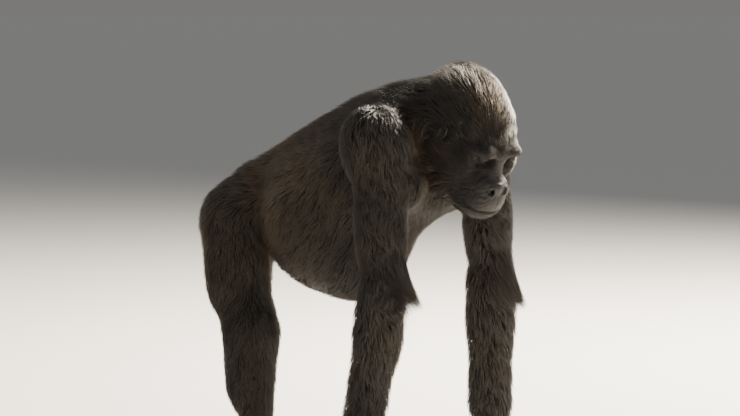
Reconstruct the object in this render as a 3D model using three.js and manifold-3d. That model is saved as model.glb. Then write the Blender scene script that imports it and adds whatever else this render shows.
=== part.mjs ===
/*
 * A gorilla standing on its knuckles and soles, life size, in millimetres.
 * +X is forward, +Y is the animal's left, +Z is up and the floor is z = 0.
 *
 * The body is a blend of named masses: balls (ellipsoids) and limbs (tapered capsules). Each one
 * has the size of the flesh, and a coat that is added to it, so that the solids reach the tips of
 * the hair. A part of the body is a loft: rays run out from its bone to the surface of the blend,
 * and a part ends at a flat joint plane, a small gap away from the next one.
 */
import * as THREE from "three";
import { mergeVertices } from "three/addons/utils/BufferGeometryUtils.js";
import Module from "manifold-3d";

const wasm = await Module();
wasm.setup();

// ---------------------------------------------------------------- driving sizes
const point = (x, y, z) => new THREE.Vector3(x, y, z);
const GAP = 0.5; // between two pieces
const FILLET = 11; // how far a part follows the blend into its neighbour
const SIDES_SIGN = { right: -1, left: 1 };

// The joints of each side, how stout its forearm is, and the tip of the tuft of long hair that
// hangs over the front of its elbow, from the elbow. X is measured from the hips.
const JOINTS = {
  right: {
    shoulder: point(466, -180, 769),
    elbow: point(505, -207, 443),
    wrist: point(439, -194, 152),
    knuckle: point(436, -192, 62),
    tuft: point(98, 6, -35),
    stout: 1,
    hip: point(-8, -88, 580),
    knee: point(70, -122, 318),
    ankle: point(84, -116, 84),
    toesOut: 14,
  },
  left: {
    shoulder: point(508, 186, 764),
    elbow: point(523, 202, 436),
    wrist: point(526, 194, 152),
    knuckle: point(528, 192, 62),
    tuft: point(101, -8, -60),
    stout: 1.1,
    hip: point(-98, 62, 580),
    knee: point(-99, 86, 324),
    ankle: point(-80, 94, 84),
    toesOut: 8,
  },
};
const HEAD = { at: point(667, -22, 744), pitch: -40, yaw: -9, roll: 2, scale: 1.12 };
const EYE = { at: point(4, 31, 0), radius: 11.5 };
const EAR = { at: point(-70, 0, 4), radii: point(16, 13, 25), sunk: 2 };
const FINGER = { spacing: 24, radius: 11, lengths: [0.95, 1.04, 1, 0.86] };
const TOE = { spacing: 18, radii: [8.6, 8.8, 8.6, 7.4], root: 100, lengths: [1, 0.96, 0.88, 0.78] };

const FUR = { color: 0x241c17, roughness: 0.85, metalness: 0 };
const SKIN = { color: 0x1b1918, roughness: 0.55, metalness: 0 };
const EYE_FINISH = { color: 0x2a150a, roughness: 0.12, metalness: 0 };

// ---------------------------------------------------------------- the masses
/** The rotation whose columns are a part's own axes: nose up, turned left, left side up. */
function turn(pitch = 0, yaw = 0, roll = 0) {
  const r = THREE.MathUtils.degToRad;
  return new THREE.Matrix4().makeRotationFromEuler(
    new THREE.Euler(r(roll), r(-pitch), r(yaw), "ZYX"),
  );
}

/** An ellipsoid of flesh, its radii along its own turned axes. */
class Ball {
  constructor(centre, radii, { coat = 0, blend = 40, turned = turn(), hollow = false } = {}) {
    this.centre = centre;
    this.radii = radii.clone().addScalar(coat);
    this.toOwn = turned.clone().invert();
    this.blend = blend;
    this.hollow = hollow;
  }
  distance(p) {
    const q = p.clone().sub(this.centre).applyMatrix4(this.toOwn);
    const near = q.clone().divide(this.radii);
    const steep = near.clone().divide(this.radii).length() + 1e-9;
    return (near.length() * (near.length() - 1)) / steep;
  }
}

/** A tapered capsule of flesh from a to b. */
class Limb {
  constructor(a, b, radiusA, radiusB, { coat = 0, blend = 30 } = {}) {
    Object.assign(this, { a, radiusA, radiusB, coat, blend });
    this.bone = b.clone().sub(a);
  }
  distance(p) {
    const q = p.clone().sub(this.a);
    const t = THREE.MathUtils.clamp(q.dot(this.bone) / this.bone.lengthSq(), 0, 1);
    const radius = THREE.MathUtils.lerp(this.radiusA, this.radiusB, t) + this.coat;
    return q.addScaledVector(this.bone, -t).length() - radius;
  }
}

/** Masses joined in order by a smooth union; a hollow mass is taken away. Negative inside. */
class Blend {
  constructor(...masses) {
    this.masses = masses.flat();
  }
  distance(p) {
    let d = Infinity;
    for (const mass of this.masses) {
      const x = mass.distance(p);
      if (d === Infinity) {
        d = x;
        continue;
      }
      const k = mass.blend;
      const h = Math.max(k - Math.abs(mass.hollow ? d + x : d - x), 0) / k;
      d = mass.hollow ? Math.max(d, -x) + (h * h * k) / 4 : Math.min(d, x) - (h * h * k) / 4;
    }
    return d;
  }
}

/** A half-space limit: the part stays on the side that the normal points away from. */
const limit = (normal, offset) => ({ distance: (p) => p.dot(normal) - offset });
const FLOOR = limit(point(0, 0, -1), 0);

function trunkMasses() {
  const masses = [
    new Ball(point(227, 0, 596), point(170, 158, 172), { turned: turn(28), coat: 18, blend: 50 }),
    new Ball(point(335, 0, 682), point(169, 162, 146), { turned: turn(24), coat: 18, blend: 50 }),
    new Ball(point(8, 0, 594), point(96, 120, 84), { turned: turn(28), coat: 20, blend: 50 }),
    new Ball(point(416, 0, 773), point(118, 146, 62), { turned: turn(18), coat: 26, blend: 50 }),
    new Limb(point(30, 0, 658), point(336, 0, 798), 46, 60, { coat: 22, blend: 50 }),
    new Ball(point(288, 0, 513), point(88, 100, 102), { turned: turn(10), coat: 16, blend: 50 }),
  ];
  for (const [side, sign] of Object.entries(SIDES_SIGN)) {
    masses.push(new Ball(point(-33, sign * 58, 554), point(58, 60, 76), { coat: 20 })); // buttock
    const breast = point(452, sign * 60, 694);
    masses.push(new Ball(breast, point(64, 78, 56), { turned: turn(20), coat: 14 }));
    const armpit = point(500, sign * 142, 674);
    masses.push(new Limb(point(440, sign * 50, 672), armpit, 56, 46, { coat: 14, blend: 50 }));
    const girdle = JOINTS[side].shoulder.clone().add(point(-18, -sign * 30, 10));
    masses.push(new Limb(point(420, sign * 60, 792), girdle, 56, 46, { coat: 20, blend: 50 }));
  }
  return masses;
}

function neckMasses() {
  return [
    new Limb(point(446, 0, 786), point(556, -6, 824), 100, 86, { coat: 24, blend: 50 }),
    new Limb(point(500, 0, 706), point(584, -8, 706), 74, 62, { coat: 18, blend: 50 }),
  ];
}

const headTurn = turn(HEAD.pitch, HEAD.yaw, HEAD.roll);
/** A point of the level head, measured from between the eyes, in the body's frame. */
const onHead = (x, y, z) =>
  point(x, y, z).multiplyScalar(HEAD.scale).applyMatrix4(headTurn).add(HEAD.at);

function headMasses() {
  const s = HEAD.scale;
  const masses = [];
  const ball = (at, radii, coat, blend, pitch = 0, hollow = false) =>
    masses.push(
      new Ball(onHead(...at), point(...radii).multiplyScalar(s), {
        turned: headTurn.clone().multiply(turn(pitch)),
        coat,
        blend: blend * s,
        hollow,
      }),
    );
  const limb = (a, b, radiusA, radiusB, coat, blend) =>
    masses.push(
      new Limb(onHead(...a), onHead(...b), radiusA * s, radiusB * s, { coat, blend: blend * s }),
    );
  ball([-98, 0, 22], [76, 61, 62], 20, 36); // braincase
  ball([-110, 0, 55], [64, 38, 38], 20, 36); // crest
  ball([-62, 0, 42], [49, 39, 37], 12, 22, -14); // forehead
  for (const y of [1, -1]) {
    ball([-60, y * 43, 8], [54, 24, 42], 15, 30); // temple
    limb([16, y * 10, 14], [17, y * 36, 20], 9.3, 9.3, 5, 14); // brow
    limb([17, y * 36, 20], [-8, y * 62, 10], 9.3, 7.3, 5, 12); // outer brow
    limb([1, y * 8, 31], [-2, y * 36, 34], 6, 5, 14, 14); // hair over the brow
    ball([-10, y * 54, -24], [24, 16, 24], 3, 22); // cheekbone
    limb([-10, y * 56, -24], [-72, y * 66, -16], 14, 14, 8, 24); // zygomatic arch
    ball([-44, y * 50, -62], [46, 22, 44], 16, 30, 10); // jaw muscle
    ball([22, y * 24, -84], [36, 22, 27], 3, 24); // side of the lips
  }
  limb([-32, 0, -12], [-20, 0, -64], 45, 50, 2, 30); // face
  limb([6, 0, 8], [28, 0, -28], 15, 16, 0, 20); // bridge of the nose
  ball([20, 0, -72], [44, 42, 37], 1, 26); // muzzle
  ball([41, 0, -76], [26, 34, 21], 0, 20); // upper lip
  for (const y of [1, -1]) ball([40, y * 18, -44], [18, 17, 14], 0, 10); // wings of the nose
  ball([48, 0, -41], [13, 12, 13], 0, 10); // tip of the nose
  ball([34, 0, -100], [32, 34, 20], 2, 16); // lower lip and chin
  ball([10, 0, -98], [44, 42, 24], 8, 24); // underside of the jaw
  for (const y of [1, -1]) ball([16, y * 31, 0], [20, 17, 11], 0, 14, 0, true); // eye socket
  return masses;
}

/** The masses of one arm, down to the knuckles. */
function armMasses(side) {
  const { shoulder, elbow, wrist, knuckle, tuft, stout } = JOINTS[side];
  const y = SIDES_SIGN[side];
  const between = (a, b, t, offset = point(0, 0, 0)) => a.clone().lerp(b, t).add(offset);
  const deltoid = shoulder.clone().add(point(-6, y * 2, -8));
  const tuftRoot = tuft.clone().multiply(point(0.2, 0.2, 0.45)).add(elbow);
  return [
    new Ball(deltoid, point(66, 48, 84), { turned: turn(10), coat: 18 }),
    new Limb(shoulder, elbow, 38, 34, { coat: 15 }),
    new Ball(between(shoulder, elbow, 0.5, point(16, 0, -20)), point(31, 34, 106), {
      coat: 14,
      blend: 30,
    }),
    new Ball(between(shoulder, elbow, 0.5, point(-9, y * 4, -10)), point(33, 36, 104), {
      coat: 16,
      blend: 30,
    }),
    new Ball(between(elbow, wrist, 0, point(-4, 0, 4)), point(36, 37, 42), {
      coat: 18,
      blend: 24,
    }),
    new Limb(elbow, wrist, 33 * stout, 33 * stout, { coat: 20, blend: 26 }),
    new Ball(between(elbow, wrist, 0.28), point(38, 42, 88), { coat: 18, blend: 26 }),
    new Limb(tuftRoot, elbow.clone().add(tuft), -14, -28, { coat: 34, blend: 12 }), // only hair
    new Ball(between(wrist, knuckle, 0.56), point(21, 43, 56), { coat: 6, blend: 20 }), // palm
  ];
}

/** The frame of one foot: its origin is on the floor under the ankle, and its X points to the toes. */
function footFrame(side) {
  const { ankle, toesOut } = JOINTS[side];
  const y = SIDES_SIGN[side];
  const turned = turn(0, y * toesOut);
  const at = (x, out, z) =>
    point(x, y * out, z).applyMatrix4(turned).add(point(ankle.x, ankle.y, 0));
  return { at, forward: point(1, 0, 0).applyMatrix4(turned) };
}

/** The masses of one leg, with the foot up to the roots of the toes. */
function legMasses(side) {
  const { hip, knee, ankle } = JOINTS[side];
  const foot = footFrame(side).at;
  const thigh = hip.clone().lerp(knee, 0.45).add(point(-20, 0, 0));
  const calf = knee.clone().lerp(ankle, 0.38).add(point(-14, 0, 0));
  return [
    new Limb(hip, knee, 55, 43, { coat: 16, blend: 40 }),
    new Ball(thigh, point(56, 54, 112), { turned: turn(-4), coat: 16 }),
    new Ball(knee, point(49, 47, 54), { coat: 16, blend: 30 }),
    new Limb(knee, ankle, 45, 26, { coat: 13 }),
    new Ball(calf, point(42, 42, 88), { turned: turn(-8), coat: 15, blend: 30 }),
    new Limb(foot(-38, 0, 34), foot(64, 4, 32), 33, 30, { coat: 5, blend: 24 }),
    new Limb(foot(50, -16, 28), foot(96, -18, 18), 24, 20, { coat: 3, blend: 20 }),
    new Limb(foot(50, 20, 26), foot(92, 28, 17), 24, 19, { coat: 3, blend: 20 }),
  ];
}

const torso = new Blend(trunkMasses(), neckMasses(), headMasses());
const limbs = {};
for (const side of Object.keys(SIDES_SIGN))
  limbs[side] = { arm: new Blend(armMasses(side)), leg: new Blend(legMasses(side)) };
const body = new Blend(
  torso.masses,
  ...Object.values(limbs).flatMap(({ arm, leg }) => [arm.masses, leg.masses]),
);

// ---------------------------------------------------------------- lofts
/** The distance along a ray at which it leaves the blend, the part's own masses or a limit. */
function reach(from, direction, { own, limits = [] }) {
  const outside = (t) => {
    const p = from.clone().addScaledVector(direction, t);
    return Math.max(
      body.distance(p),
      own.distance(p) - FILLET,
      ...limits.map((plane) => plane.distance(p)),
    );
  };
  const shortestStep = 1.5;
  let inner = 0;
  let outer = 0;
  for (let d = outside(0); d < 0; d = outside(outer)) {
    inner = outer;
    outer += Math.max(shortestStep, -0.8 * d);
  }
  for (let halving = 0; halving < 24; halving++) {
    const middle = (inner + outer) / 2;
    if (outside(middle) < 0) inner = middle;
    else outer = middle;
  }
  return inner;
}

/** A ring of rays: its centre, the direction of the bone, a direction across it, and its lean. */
const ring = (at, along, across, lean = 0) => ({ at, along, across, lean });

/** Count rings from one to another, evenly: their centres, directions and leans run across. */
function ringsBetween(a, b, count, { first = true, last = true } = {}) {
  const rings = [];
  for (let i = first ? 0 : 1; i < count - (last ? 0 : 1); i++) {
    const t = i / (count - 1);
    rings.push(
      ring(
        a.at.clone().lerp(b.at, t),
        a.along.clone().lerp(b.along, t).normalize(),
        a.across.clone().lerp(b.across, t),
        THREE.MathUtils.lerp(a.lean, b.lean, t),
      ),
    );
  }
  return rings;
}

/** A ring moved along its bone. */
const shifted = (r, distance) =>
  ring(r.at.clone().addScaledVector(r.along, distance), r.along, r.across, r.lean);

/** A closed geometry from rows of points, each row once round, with a point at each end. */
function closedSkin(start, rows, end) {
  const sides = rows[0].length;
  const points = [start, ...rows.flat(), end];
  const at = (row, side) => 1 + row * sides + (side % sides);
  const faces = [];
  for (let side = 0; side < sides; side++) {
    faces.push(0, at(0, side + 1), at(0, side));
    for (let row = 0; row + 1 < rows.length; row++) {
      faces.push(at(row, side), at(row, side + 1), at(row + 1, side + 1));
      faces.push(at(row, side), at(row + 1, side + 1), at(row + 1, side));
    }
    faces.push(points.length - 1, at(rows.length - 1, side), at(rows.length - 1, side + 1));
  }
  const geometry = new THREE.BufferGeometry().setFromPoints(points);
  geometry.setIndex(faces);
  return geometry;
}

/**
 * The loft of a part through its rings. An end that leans is closed by a ray along the bone, and
 * one that doesn't is a flat joint face. Grow moves the skin out, for a tool that cuts a neighbour.
 */
function loft(rings, sides, part, grow = 0) {
  const hit = (from, direction) =>
    from.clone().addScaledVector(direction, reach(from, direction, part) + grow);
  const rows = rings.map(({ at, along, across, lean }) => {
    const out = across.clone().addScaledVector(along, -across.dot(along)).normalize();
    const side = along.clone().cross(out);
    const tilt = THREE.MathUtils.degToRad(lean);
    return Array.from({ length: sides }, (_, i) => {
      const angle = (2 * Math.PI * i) / sides;
      const direction = out
        .clone()
        .multiplyScalar(Math.cos(angle) * Math.cos(tilt))
        .addScaledVector(side, Math.sin(angle) * Math.cos(tilt))
        .addScaledVector(along, Math.sin(tilt));
      return hit(at, direction);
    });
  });
  const middle = (row) => row.reduce((sum, p) => sum.add(p), point(0, 0, 0)).divideScalar(sides);
  const first = rings[0];
  const last = rings.at(-1);
  const start = first.lean < 0 ? hit(first.at, first.along.clone().negate()) : middle(rows[0]);
  const end = last.lean > 0 ? hit(last.at, last.along) : middle(rows.at(-1));
  return closedSkin(start, rows, end);
}

/** A finger or toe: round rings along a curve, a round tip, and a flat where it meets the floor. */
function digit(points, radii, { across, rings = 8, sides = 8, startPlane }) {
  const curve = new THREE.CatmullRomCurve3(points, false, "centripetal");
  const onFloor = (p) => point(p.x, p.y, Math.max(p.z, 0));
  const rows = [];
  for (let i = 0; i < rings; i++) {
    const t = i / (rings - 1);
    const along = i === 0 && startPlane ? startPlane : curve.getTangent(t);
    const out = across.clone().addScaledVector(along, -across.dot(along)).normalize();
    const side = along.clone().cross(out);
    const place = t * (radii.length - 1);
    const lower = Math.min(Math.floor(place), radii.length - 2);
    const radius = THREE.MathUtils.lerp(radii[lower], radii[lower + 1], place - lower);
    rows.push(
      Array.from({ length: sides }, (_, j) => {
        const angle = (2 * Math.PI * (j + 0.5)) / sides;
        return onFloor(
          curve
            .getPoint(t)
            .addScaledVector(out, radius * Math.cos(angle))
            .addScaledVector(side, radius * Math.sin(angle)),
        );
      }),
    );
  }
  const tip = curve.getPoint(1).addScaledVector(curve.getTangent(1), radii.at(-1) * 0.8);
  const rounded = rows.at(-1).map((p) => p.clone().lerp(tip, 0.3).addScaledVector(
    curve.getTangent(1), radii.at(-1) * 0.3));
  return closedSkin(curve.getPoint(0), [...rows, rounded.map(onFloor)], onFloor(tip));
}

// ---------------------------------------------------------------- cutting and joining
function solidOf(geometry) {
  const bare = geometry.clone();
  bare.deleteAttribute("normal");
  bare.deleteAttribute("uv");
  const merged = mergeVertices(bare, 1e-4);
  return new wasm.Manifold(
    new wasm.Mesh({
      numProp: 3,
      vertProperties: merged.getAttribute("position").array,
      triVerts: new Uint32Array(merged.index.array),
    }),
  );
}

/** The largest body that is left of a geometry after the tools are taken away. */
function cut(geometry, ...tools) {
  let solid = solidOf(geometry);
  for (const tool of tools) solid = solid.subtract(tool);
  const largest = solid.decompose().reduce((a, b) => (b.volume() > a.volume() ? b : a));
  const { vertProperties, triVerts } = largest.getMesh();
  const result = new THREE.BufferGeometry();
  result.setAttribute("position", new THREE.BufferAttribute(new Float32Array(vertProperties), 3));
  result.setIndex(Array.from(triVerts));
  return result;
}

const animal = new THREE.Group();
function add(name, geometry, finish) {
  geometry.computeVertexNormals();
  const mesh = new THREE.Mesh(geometry, new THREE.MeshStandardMaterial(finish));
  mesh.name = name;
  animal.add(mesh);
}

// ---------------------------------------------------------------- trunk, neck and head
const SPINE_SIDES = 28;
const UP = point(0, 0, 1);
const spineStation = (at, pitch, lean = 0, yaw = 0) =>
  ring(at, point(1, 0, 0).applyMatrix4(turn(pitch, yaw)), UP, lean);
const SPINE = {
  rump: spineStation(point(20, 0, 600), 20),
  waist: spineStation(point(112, 0, 616), 20),
  ribs: spineStation(point(275, 0, 672), 24),
  throat: spineStation(point(472, 0, 768), 30),
  nape: spineStation(point(548, -6, 790), 20),
  skull: spineStation(point(612, -16, 776), 6, 0, -4),
};
const rumpPole = { ...SPINE.rump, lean: -76 };
const facePole = { ...spineStation(point(612, -16, 776), -30, 78, HEAD.yaw) };
const spineParts = {
  pelvis: [
    ...ringsBetween(rumpPole, SPINE.rump, 6, { last: false }),
    ...ringsBetween(SPINE.rump, shifted(SPINE.waist, -GAP / 2), 3),
  ],
  belly: ringsBetween(shifted(SPINE.waist, GAP / 2), shifted(SPINE.ribs, -GAP / 2), 5),
  chest: ringsBetween(shifted(SPINE.ribs, GAP / 2), shifted(SPINE.throat, -GAP / 2), 6),
  neck: ringsBetween(shifted(SPINE.throat, GAP / 2), shifted(SPINE.nape, -GAP / 2), 4),
  head: [
    ...ringsBetween(shifted(SPINE.nape, GAP / 2), SPINE.skull, 4, { last: false }),
    ...ringsBetween(SPINE.skull, facePole, 12),
  ],
};
const torsoPart = { own: torso };
const headPart = { own: new Blend(neckMasses(), headMasses()) };
const torsoTool = solidOf(loft(Object.values(spineParts).flat(), SPINE_SIDES, torsoPart, GAP));

for (const name of ["pelvis", "belly", "chest", "neck"])
  add(name, loft(spineParts[name], SPINE_SIDES, torsoPart), FUR);

const ball = (at, radii, turned, columns, rows) =>
  new THREE.SphereGeometry(1, columns, rows)
    .scale(radii.x, radii.y, radii.z)
    .applyMatrix4(turned)
    .translate(at.x, at.y, at.z);
const eyes = {};
for (const [side, sign] of Object.entries(SIDES_SIGN)) {
  const at = onHead(EYE.at.x, sign * EYE.at.y, EYE.at.z);
  const eyeball = (radius) => ball(at, point(radius, radius, radius), headTurn, 14, 8);
  eyes[side] = { ball: eyeball(EYE.radius), socket: solidOf(eyeball(EYE.radius + GAP)) };
}
const headGeometry = loft(spineParts.head, SPINE_SIDES, headPart);
add("head", cut(headGeometry, eyes.right.socket, eyes.left.socket), FUR);
for (const [side, sign] of Object.entries(SIDES_SIGN)) {
  add(`eye_${side}`, eyes[side].ball, EYE_FINISH);
  const lean = headTurn.clone().multiply(turn(-12, sign * 14));
  const outward = point(0, sign, 0).applyMatrix4(headTurn);
  const inside = onHead(...EAR.at);
  const depth = reach(inside, outward, headPart) - EAR.sunk;
  const ear = ball(inside.addScaledVector(outward, depth), EAR.radii, lean, 12, 8);
  add(`ear_${side}`, cut(ear, torsoTool), SKIN);
}

// ---------------------------------------------------------------- arms and hands
const FORWARD = point(1, 0, 0);
const LEFTWARD = point(0, 1, 0);
const DOWN = point(0, 0, -1);
const ARM_SIDES = 14;
const unit = (a, b) => b.clone().sub(a).normalize();

function addArm(side) {
  const { shoulder, elbow, wrist, knuckle } = JOINTS[side];
  const sign = SIDES_SIGN[side];
  const [upper, lower, palm] = [unit(shoulder, elbow), unit(elbow, wrist), unit(wrist, knuckle)];
  const station = (at, along) => ring(at, along, FORWARD);
  const top = station(shoulder, upper);
  const bend = station(elbow, upper.clone().add(lower).normalize());
  const cuff = station(wrist, lower.clone().add(palm).normalize());
  const knuckles = station(knuckle, DOWN);
  const arm = { own: limbs[side].arm };

  const upperRings = [
    ...ringsBetween({ ...top, lean: -72 }, top, 4, { last: false }),
    ...ringsBetween(top, shifted(bend, -GAP / 2), 8),
  ];
  add(`upper_arm_${side}`, cut(loft(upperRings, ARM_SIDES, arm), torsoTool), FUR);
  const lowerRings = ringsBetween(shifted(bend, GAP / 2), shifted(cuff, -GAP / 2), 9);
  add(`forearm_${side}`, loft(lowerRings, ARM_SIDES, arm), FUR);
  const palmRings = ringsBetween(shifted(cuff, GAP / 2), shifted(knuckles, -GAP / 2), 6);
  add(`hand_${side}`, loft(palmRings, ARM_SIDES, arm), SKIN);

  FINGER.lengths.forEach((length, index) => {
    const out = (index - 1.5) * FINGER.spacing * sign;
    const place = (x, z) => point(knuckle.x + x * length, knuckle.y + out, z);
    const root = place(0, knuckle.z - GAP / 2);
    const path = [root, place(17, 41), place(32, 20), place(22, 9), place(-4, 8.4),
      place(-18, 12.5), place(-24, 25)];
    const radii = [FINGER.radius, 11, 11, 10.6, 9.4, 7.4];
    const finger = digit(path, radii, { across: LEFTWARD, rings: 7, startPlane: DOWN });
    add(`finger_${index + 1}_${side}`, finger, SKIN);
  });
  const beside = (x, inward, z) => point(knuckle.x + x, knuckle.y - sign * inward, z);
  const thumbPath = [beside(4, 34, 112), beside(14, 44, 92), beside(22, 50, 68), beside(24, 50, 50)];
  const thumb = digit(thumbPath, [12, 11.5, 10.5, 8], { across: LEFTWARD, rings: 6 });
  const palmTool = solidOf(loft(palmRings, ARM_SIDES, arm, GAP));
  const wristTool = solidOf(loft(lowerRings, ARM_SIDES, arm, GAP));
  add(`thumb_${side}`, cut(thumb, palmTool, wristTool), SKIN);
}

// ---------------------------------------------------------------- legs and feet
const LEG_SIDES = 16;

function addLeg(side) {
  const { hip, knee, ankle } = JOINTS[side];
  const sign = SIDES_SIGN[side];
  const [thigh, shin] = [unit(hip, knee), unit(knee, ankle)];
  const station = (at, along) => ring(at, along, FORWARD);
  const top = station(hip, thigh);
  const bend = station(knee, thigh.clone().add(shin).normalize());
  const cuff = station(ankle, DOWN);
  const leg = { own: limbs[side].leg };
  const apart = limit(point(0, -sign, 0), -3); // keeps the two thighs apart

  const thighRings = [
    ...ringsBetween({ ...top, lean: -70 }, top, 4, { last: false }),
    ...ringsBetween(top, shifted(bend, -GAP / 2), 8),
  ];
  const thighLoft = loft(thighRings, LEG_SIDES, { ...leg, limits: [apart] });
  add(`thigh_${side}`, cut(thighLoft, torsoTool), FUR);
  const shinRings = ringsBetween(shifted(bend, GAP / 2), shifted(cuff, -GAP / 2), 8);
  add(`shin_${side}`, loft(shinRings, LEG_SIDES, leg), FUR);

  const { at, forward } = footFrame(side);
  const heel = ring(at(-30, 0, 30), forward, UP, -74);
  const footRings = [
    ...ringsBetween(heel, { ...heel, lean: 0 }, 5, { last: false }),
    ...ringsBetween({ ...heel, lean: 0 }, ring(at(TOE.root - GAP / 2, 4, 20), forward, UP), 7),
  ];
  const anklePlane = limit(UP, ankle.z - GAP / 2);
  const foot = { ...leg, limits: [FLOOR, anklePlane] };
  add(`foot_${side}`, loft(footRings, LEG_SIDES, foot), SKIN);

  TOE.lengths.forEach((length, index) => {
    const out = (index - 1.5) * TOE.spacing + 4;
    const place = (x, z) => at(TOE.root + x, out * (1 + x * 0.002), z);
    const root = place(GAP / 2, 12);
    const path = [root, place(18 * length, 10.5), place(36 * length, 7), place(46 * length, 6)];
    const toe = digit(path, TOE.radii, { across: LEFTWARD, rings: 5, startPlane: forward });
    add(`toe_${index + 1}_${side}`, toe, SKIN);
  });
  const bigToe = [at(22, -16, 24), at(52, -44, 18), at(76, -60, 11.5), at(88, -66, 9)];
  const bigToeLoft = digit(bigToe, [17, 15.5, 14, 11], { across: LEFTWARD, rings: 6 });
  add(`big_toe_${side}`, cut(bigToeLoft, solidOf(loft(footRings, LEG_SIDES, foot, GAP))), SKIN);
}

for (const side of Object.keys(SIDES_SIGN)) {
  addArm(side);
  addLeg(side);
}

// The origin is the middle of the box on the floor.
const box = new THREE.Box3().setFromObject(animal);
const middle = box.getCenter(point(0, 0, 0));
animal.position.set(-middle.x, -middle.y, 0);
const gorilla = new THREE.Group();
gorilla.add(animal);

export default gorilla;
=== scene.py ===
"""A gorilla on its knuckles and soles, life size: one skin, eyes, ears, nails and a coat of locks.

All shaping is done in the body's own millimetres (X forward, Y to the animal's left, Z up, the floor
at 0) and is moved to the frame, in metres, when a mesh is made. The flesh is a blend of balls and
limbs. Each has a coat depth: with the coat off the blend is the skin, with it on it is the outline
that the tips of the hair reach.
"""
import logging
import math
from dataclasses import dataclass, field
from enum import Enum

import bpy
import numpy as np
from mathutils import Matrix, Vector


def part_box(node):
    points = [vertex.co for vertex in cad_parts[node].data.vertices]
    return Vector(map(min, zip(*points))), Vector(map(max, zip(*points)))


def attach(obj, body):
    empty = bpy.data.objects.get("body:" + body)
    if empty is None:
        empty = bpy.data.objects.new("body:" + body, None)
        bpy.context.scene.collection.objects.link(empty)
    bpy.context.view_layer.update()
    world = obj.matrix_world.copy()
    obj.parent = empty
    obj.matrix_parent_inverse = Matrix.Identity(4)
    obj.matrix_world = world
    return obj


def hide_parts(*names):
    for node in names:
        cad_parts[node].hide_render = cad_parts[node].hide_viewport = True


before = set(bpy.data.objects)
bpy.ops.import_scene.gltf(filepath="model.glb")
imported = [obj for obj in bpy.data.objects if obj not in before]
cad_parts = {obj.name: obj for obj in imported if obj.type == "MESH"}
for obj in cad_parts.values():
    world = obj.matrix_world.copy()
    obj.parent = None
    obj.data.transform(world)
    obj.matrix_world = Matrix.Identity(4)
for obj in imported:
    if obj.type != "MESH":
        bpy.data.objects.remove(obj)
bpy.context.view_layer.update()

MM = 0.001
FAR = 1000.0  # a distance that stands for "nowhere near"
EYE_OUT = 31.0  # how far to the side each eye is on the level head, in mm
log = logging.getLogger("gorilla")

Pair = tuple[float, float]
Triple = tuple[float, float, float]
Value = bpy.types.NodeSocket | float | tuple | np.ndarray  # what a shader input may be given


class Side(Enum):
    """A side of the animal, with the sign of its Y."""

    RIGHT = -1
    LEFT = 1

    @property
    def word(self) -> str:
        """The side's name as the nodes have it."""
        return self.name.lower()


# ------------------------------------------------------------------------------ plain mathematics
def vec(x: float, y: float, z: float) -> np.ndarray:
    """A point or direction."""
    return np.array((x, y, z), float)


def unit(vectors: np.ndarray) -> np.ndarray:
    """The vectors at length 1, along the last axis."""
    return vectors / (np.linalg.norm(vectors, axis=-1, keepdims=True) + 1e-12)


def turned(pitch: float = 0.0, yaw: float = 0.0, roll: float = 0.0) -> np.ndarray:
    """A turned part's own axes.

    Args:
        pitch: Degrees nose up.
        yaw: Degrees to the left.
        roll: Degrees left side up.

    Returns:
        A 3 by 3 matrix whose columns are the part's axes.
    """
    p, y, r = np.radians((pitch, yaw, roll))
    about_z = np.array(((np.cos(y), -np.sin(y), 0), (np.sin(y), np.cos(y), 0), (0, 0, 1)))
    about_y = np.array(((np.cos(p), 0, -np.sin(p)), (0, 1, 0), (np.sin(p), 0, np.cos(p))))
    about_x = np.array(((1, 0, 0), (0, np.cos(r), -np.sin(r)), (0, np.sin(r), np.cos(r))))
    return about_z @ about_y @ about_x


def ease(low: float, high: float, value: np.ndarray) -> np.ndarray:
    """0 below low, 1 above high, and 3t² − 2t³ between them."""
    t = np.clip((value - low) / (high - low), 0.0, 1.0)
    return t * t * (3.0 - 2.0 * t)


def bell(value: np.ndarray, width: float) -> np.ndarray:
    """exp(−(value / width)²): 1 at 0 and fading out on both sides."""
    return np.exp(-np.square(value / width))


def waves(points: np.ndarray, size: float, seed: int) -> np.ndarray:
    """A smooth pattern: the mean of sines that run in seeded directions, about size mm long.

    Args:
        points: Places, N by 3.
        size: The waves' rough length in mm.
        seed: Which pattern.

    Returns:
        Values around −1 to 1, one for each place.
    """
    count, random = 7, np.random.default_rng(seed)
    runs = unit(random.normal(size=(count, 3))) * (2 * np.pi / size) * random.uniform(0.6, 1.5, (count, 1))
    return np.sin(points @ runs.T + random.uniform(0, 2 * np.pi, count)).sum(1) / math.sqrt(count / 2) / 2


# ------------------------------------------------------------------------------ masses of flesh
@dataclass(frozen=True)
class Mass:
    """What a ball and a limb share: the part it belongs to, its coat's depth and how it joins."""

    part: str
    coat: float
    blend: float
    hollow: bool = False


@dataclass(frozen=True)
class Ball(Mass):
    """An ellipsoid with radii along its own axes."""

    centre: np.ndarray = field(default_factory=lambda: vec(0, 0, 0))
    radii: np.ndarray = field(default_factory=lambda: vec(1, 1, 1))
    axes: np.ndarray = field(default_factory=turned)

    def distance(self, points: np.ndarray, coated: float) -> np.ndarray:
        """k0(k0 − 1)/k1, where k0 is the length of q/r and k1 of q/r², for q in the ball's axes.

        Args:
            points: Places, N by 3.
            coated: 0 for the skin, 1 for the tips of the coat.

        Returns:
            One distance for each place.
        """
        q = (points - self.centre) @ self.axes
        radii = self.radii + self.coat * coated
        k0 = np.linalg.norm(q / radii, axis=1)
        k1 = np.linalg.norm(q / radii**2, axis=1) + 1e-9
        return k0 * (k0 - 1) / k1

    def box(self) -> tuple[np.ndarray, np.ndarray]:
        """The lowest and highest corners of a box round it."""
        reach = self.radii.max() + self.coat
        return self.centre - reach, self.centre + reach


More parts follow.
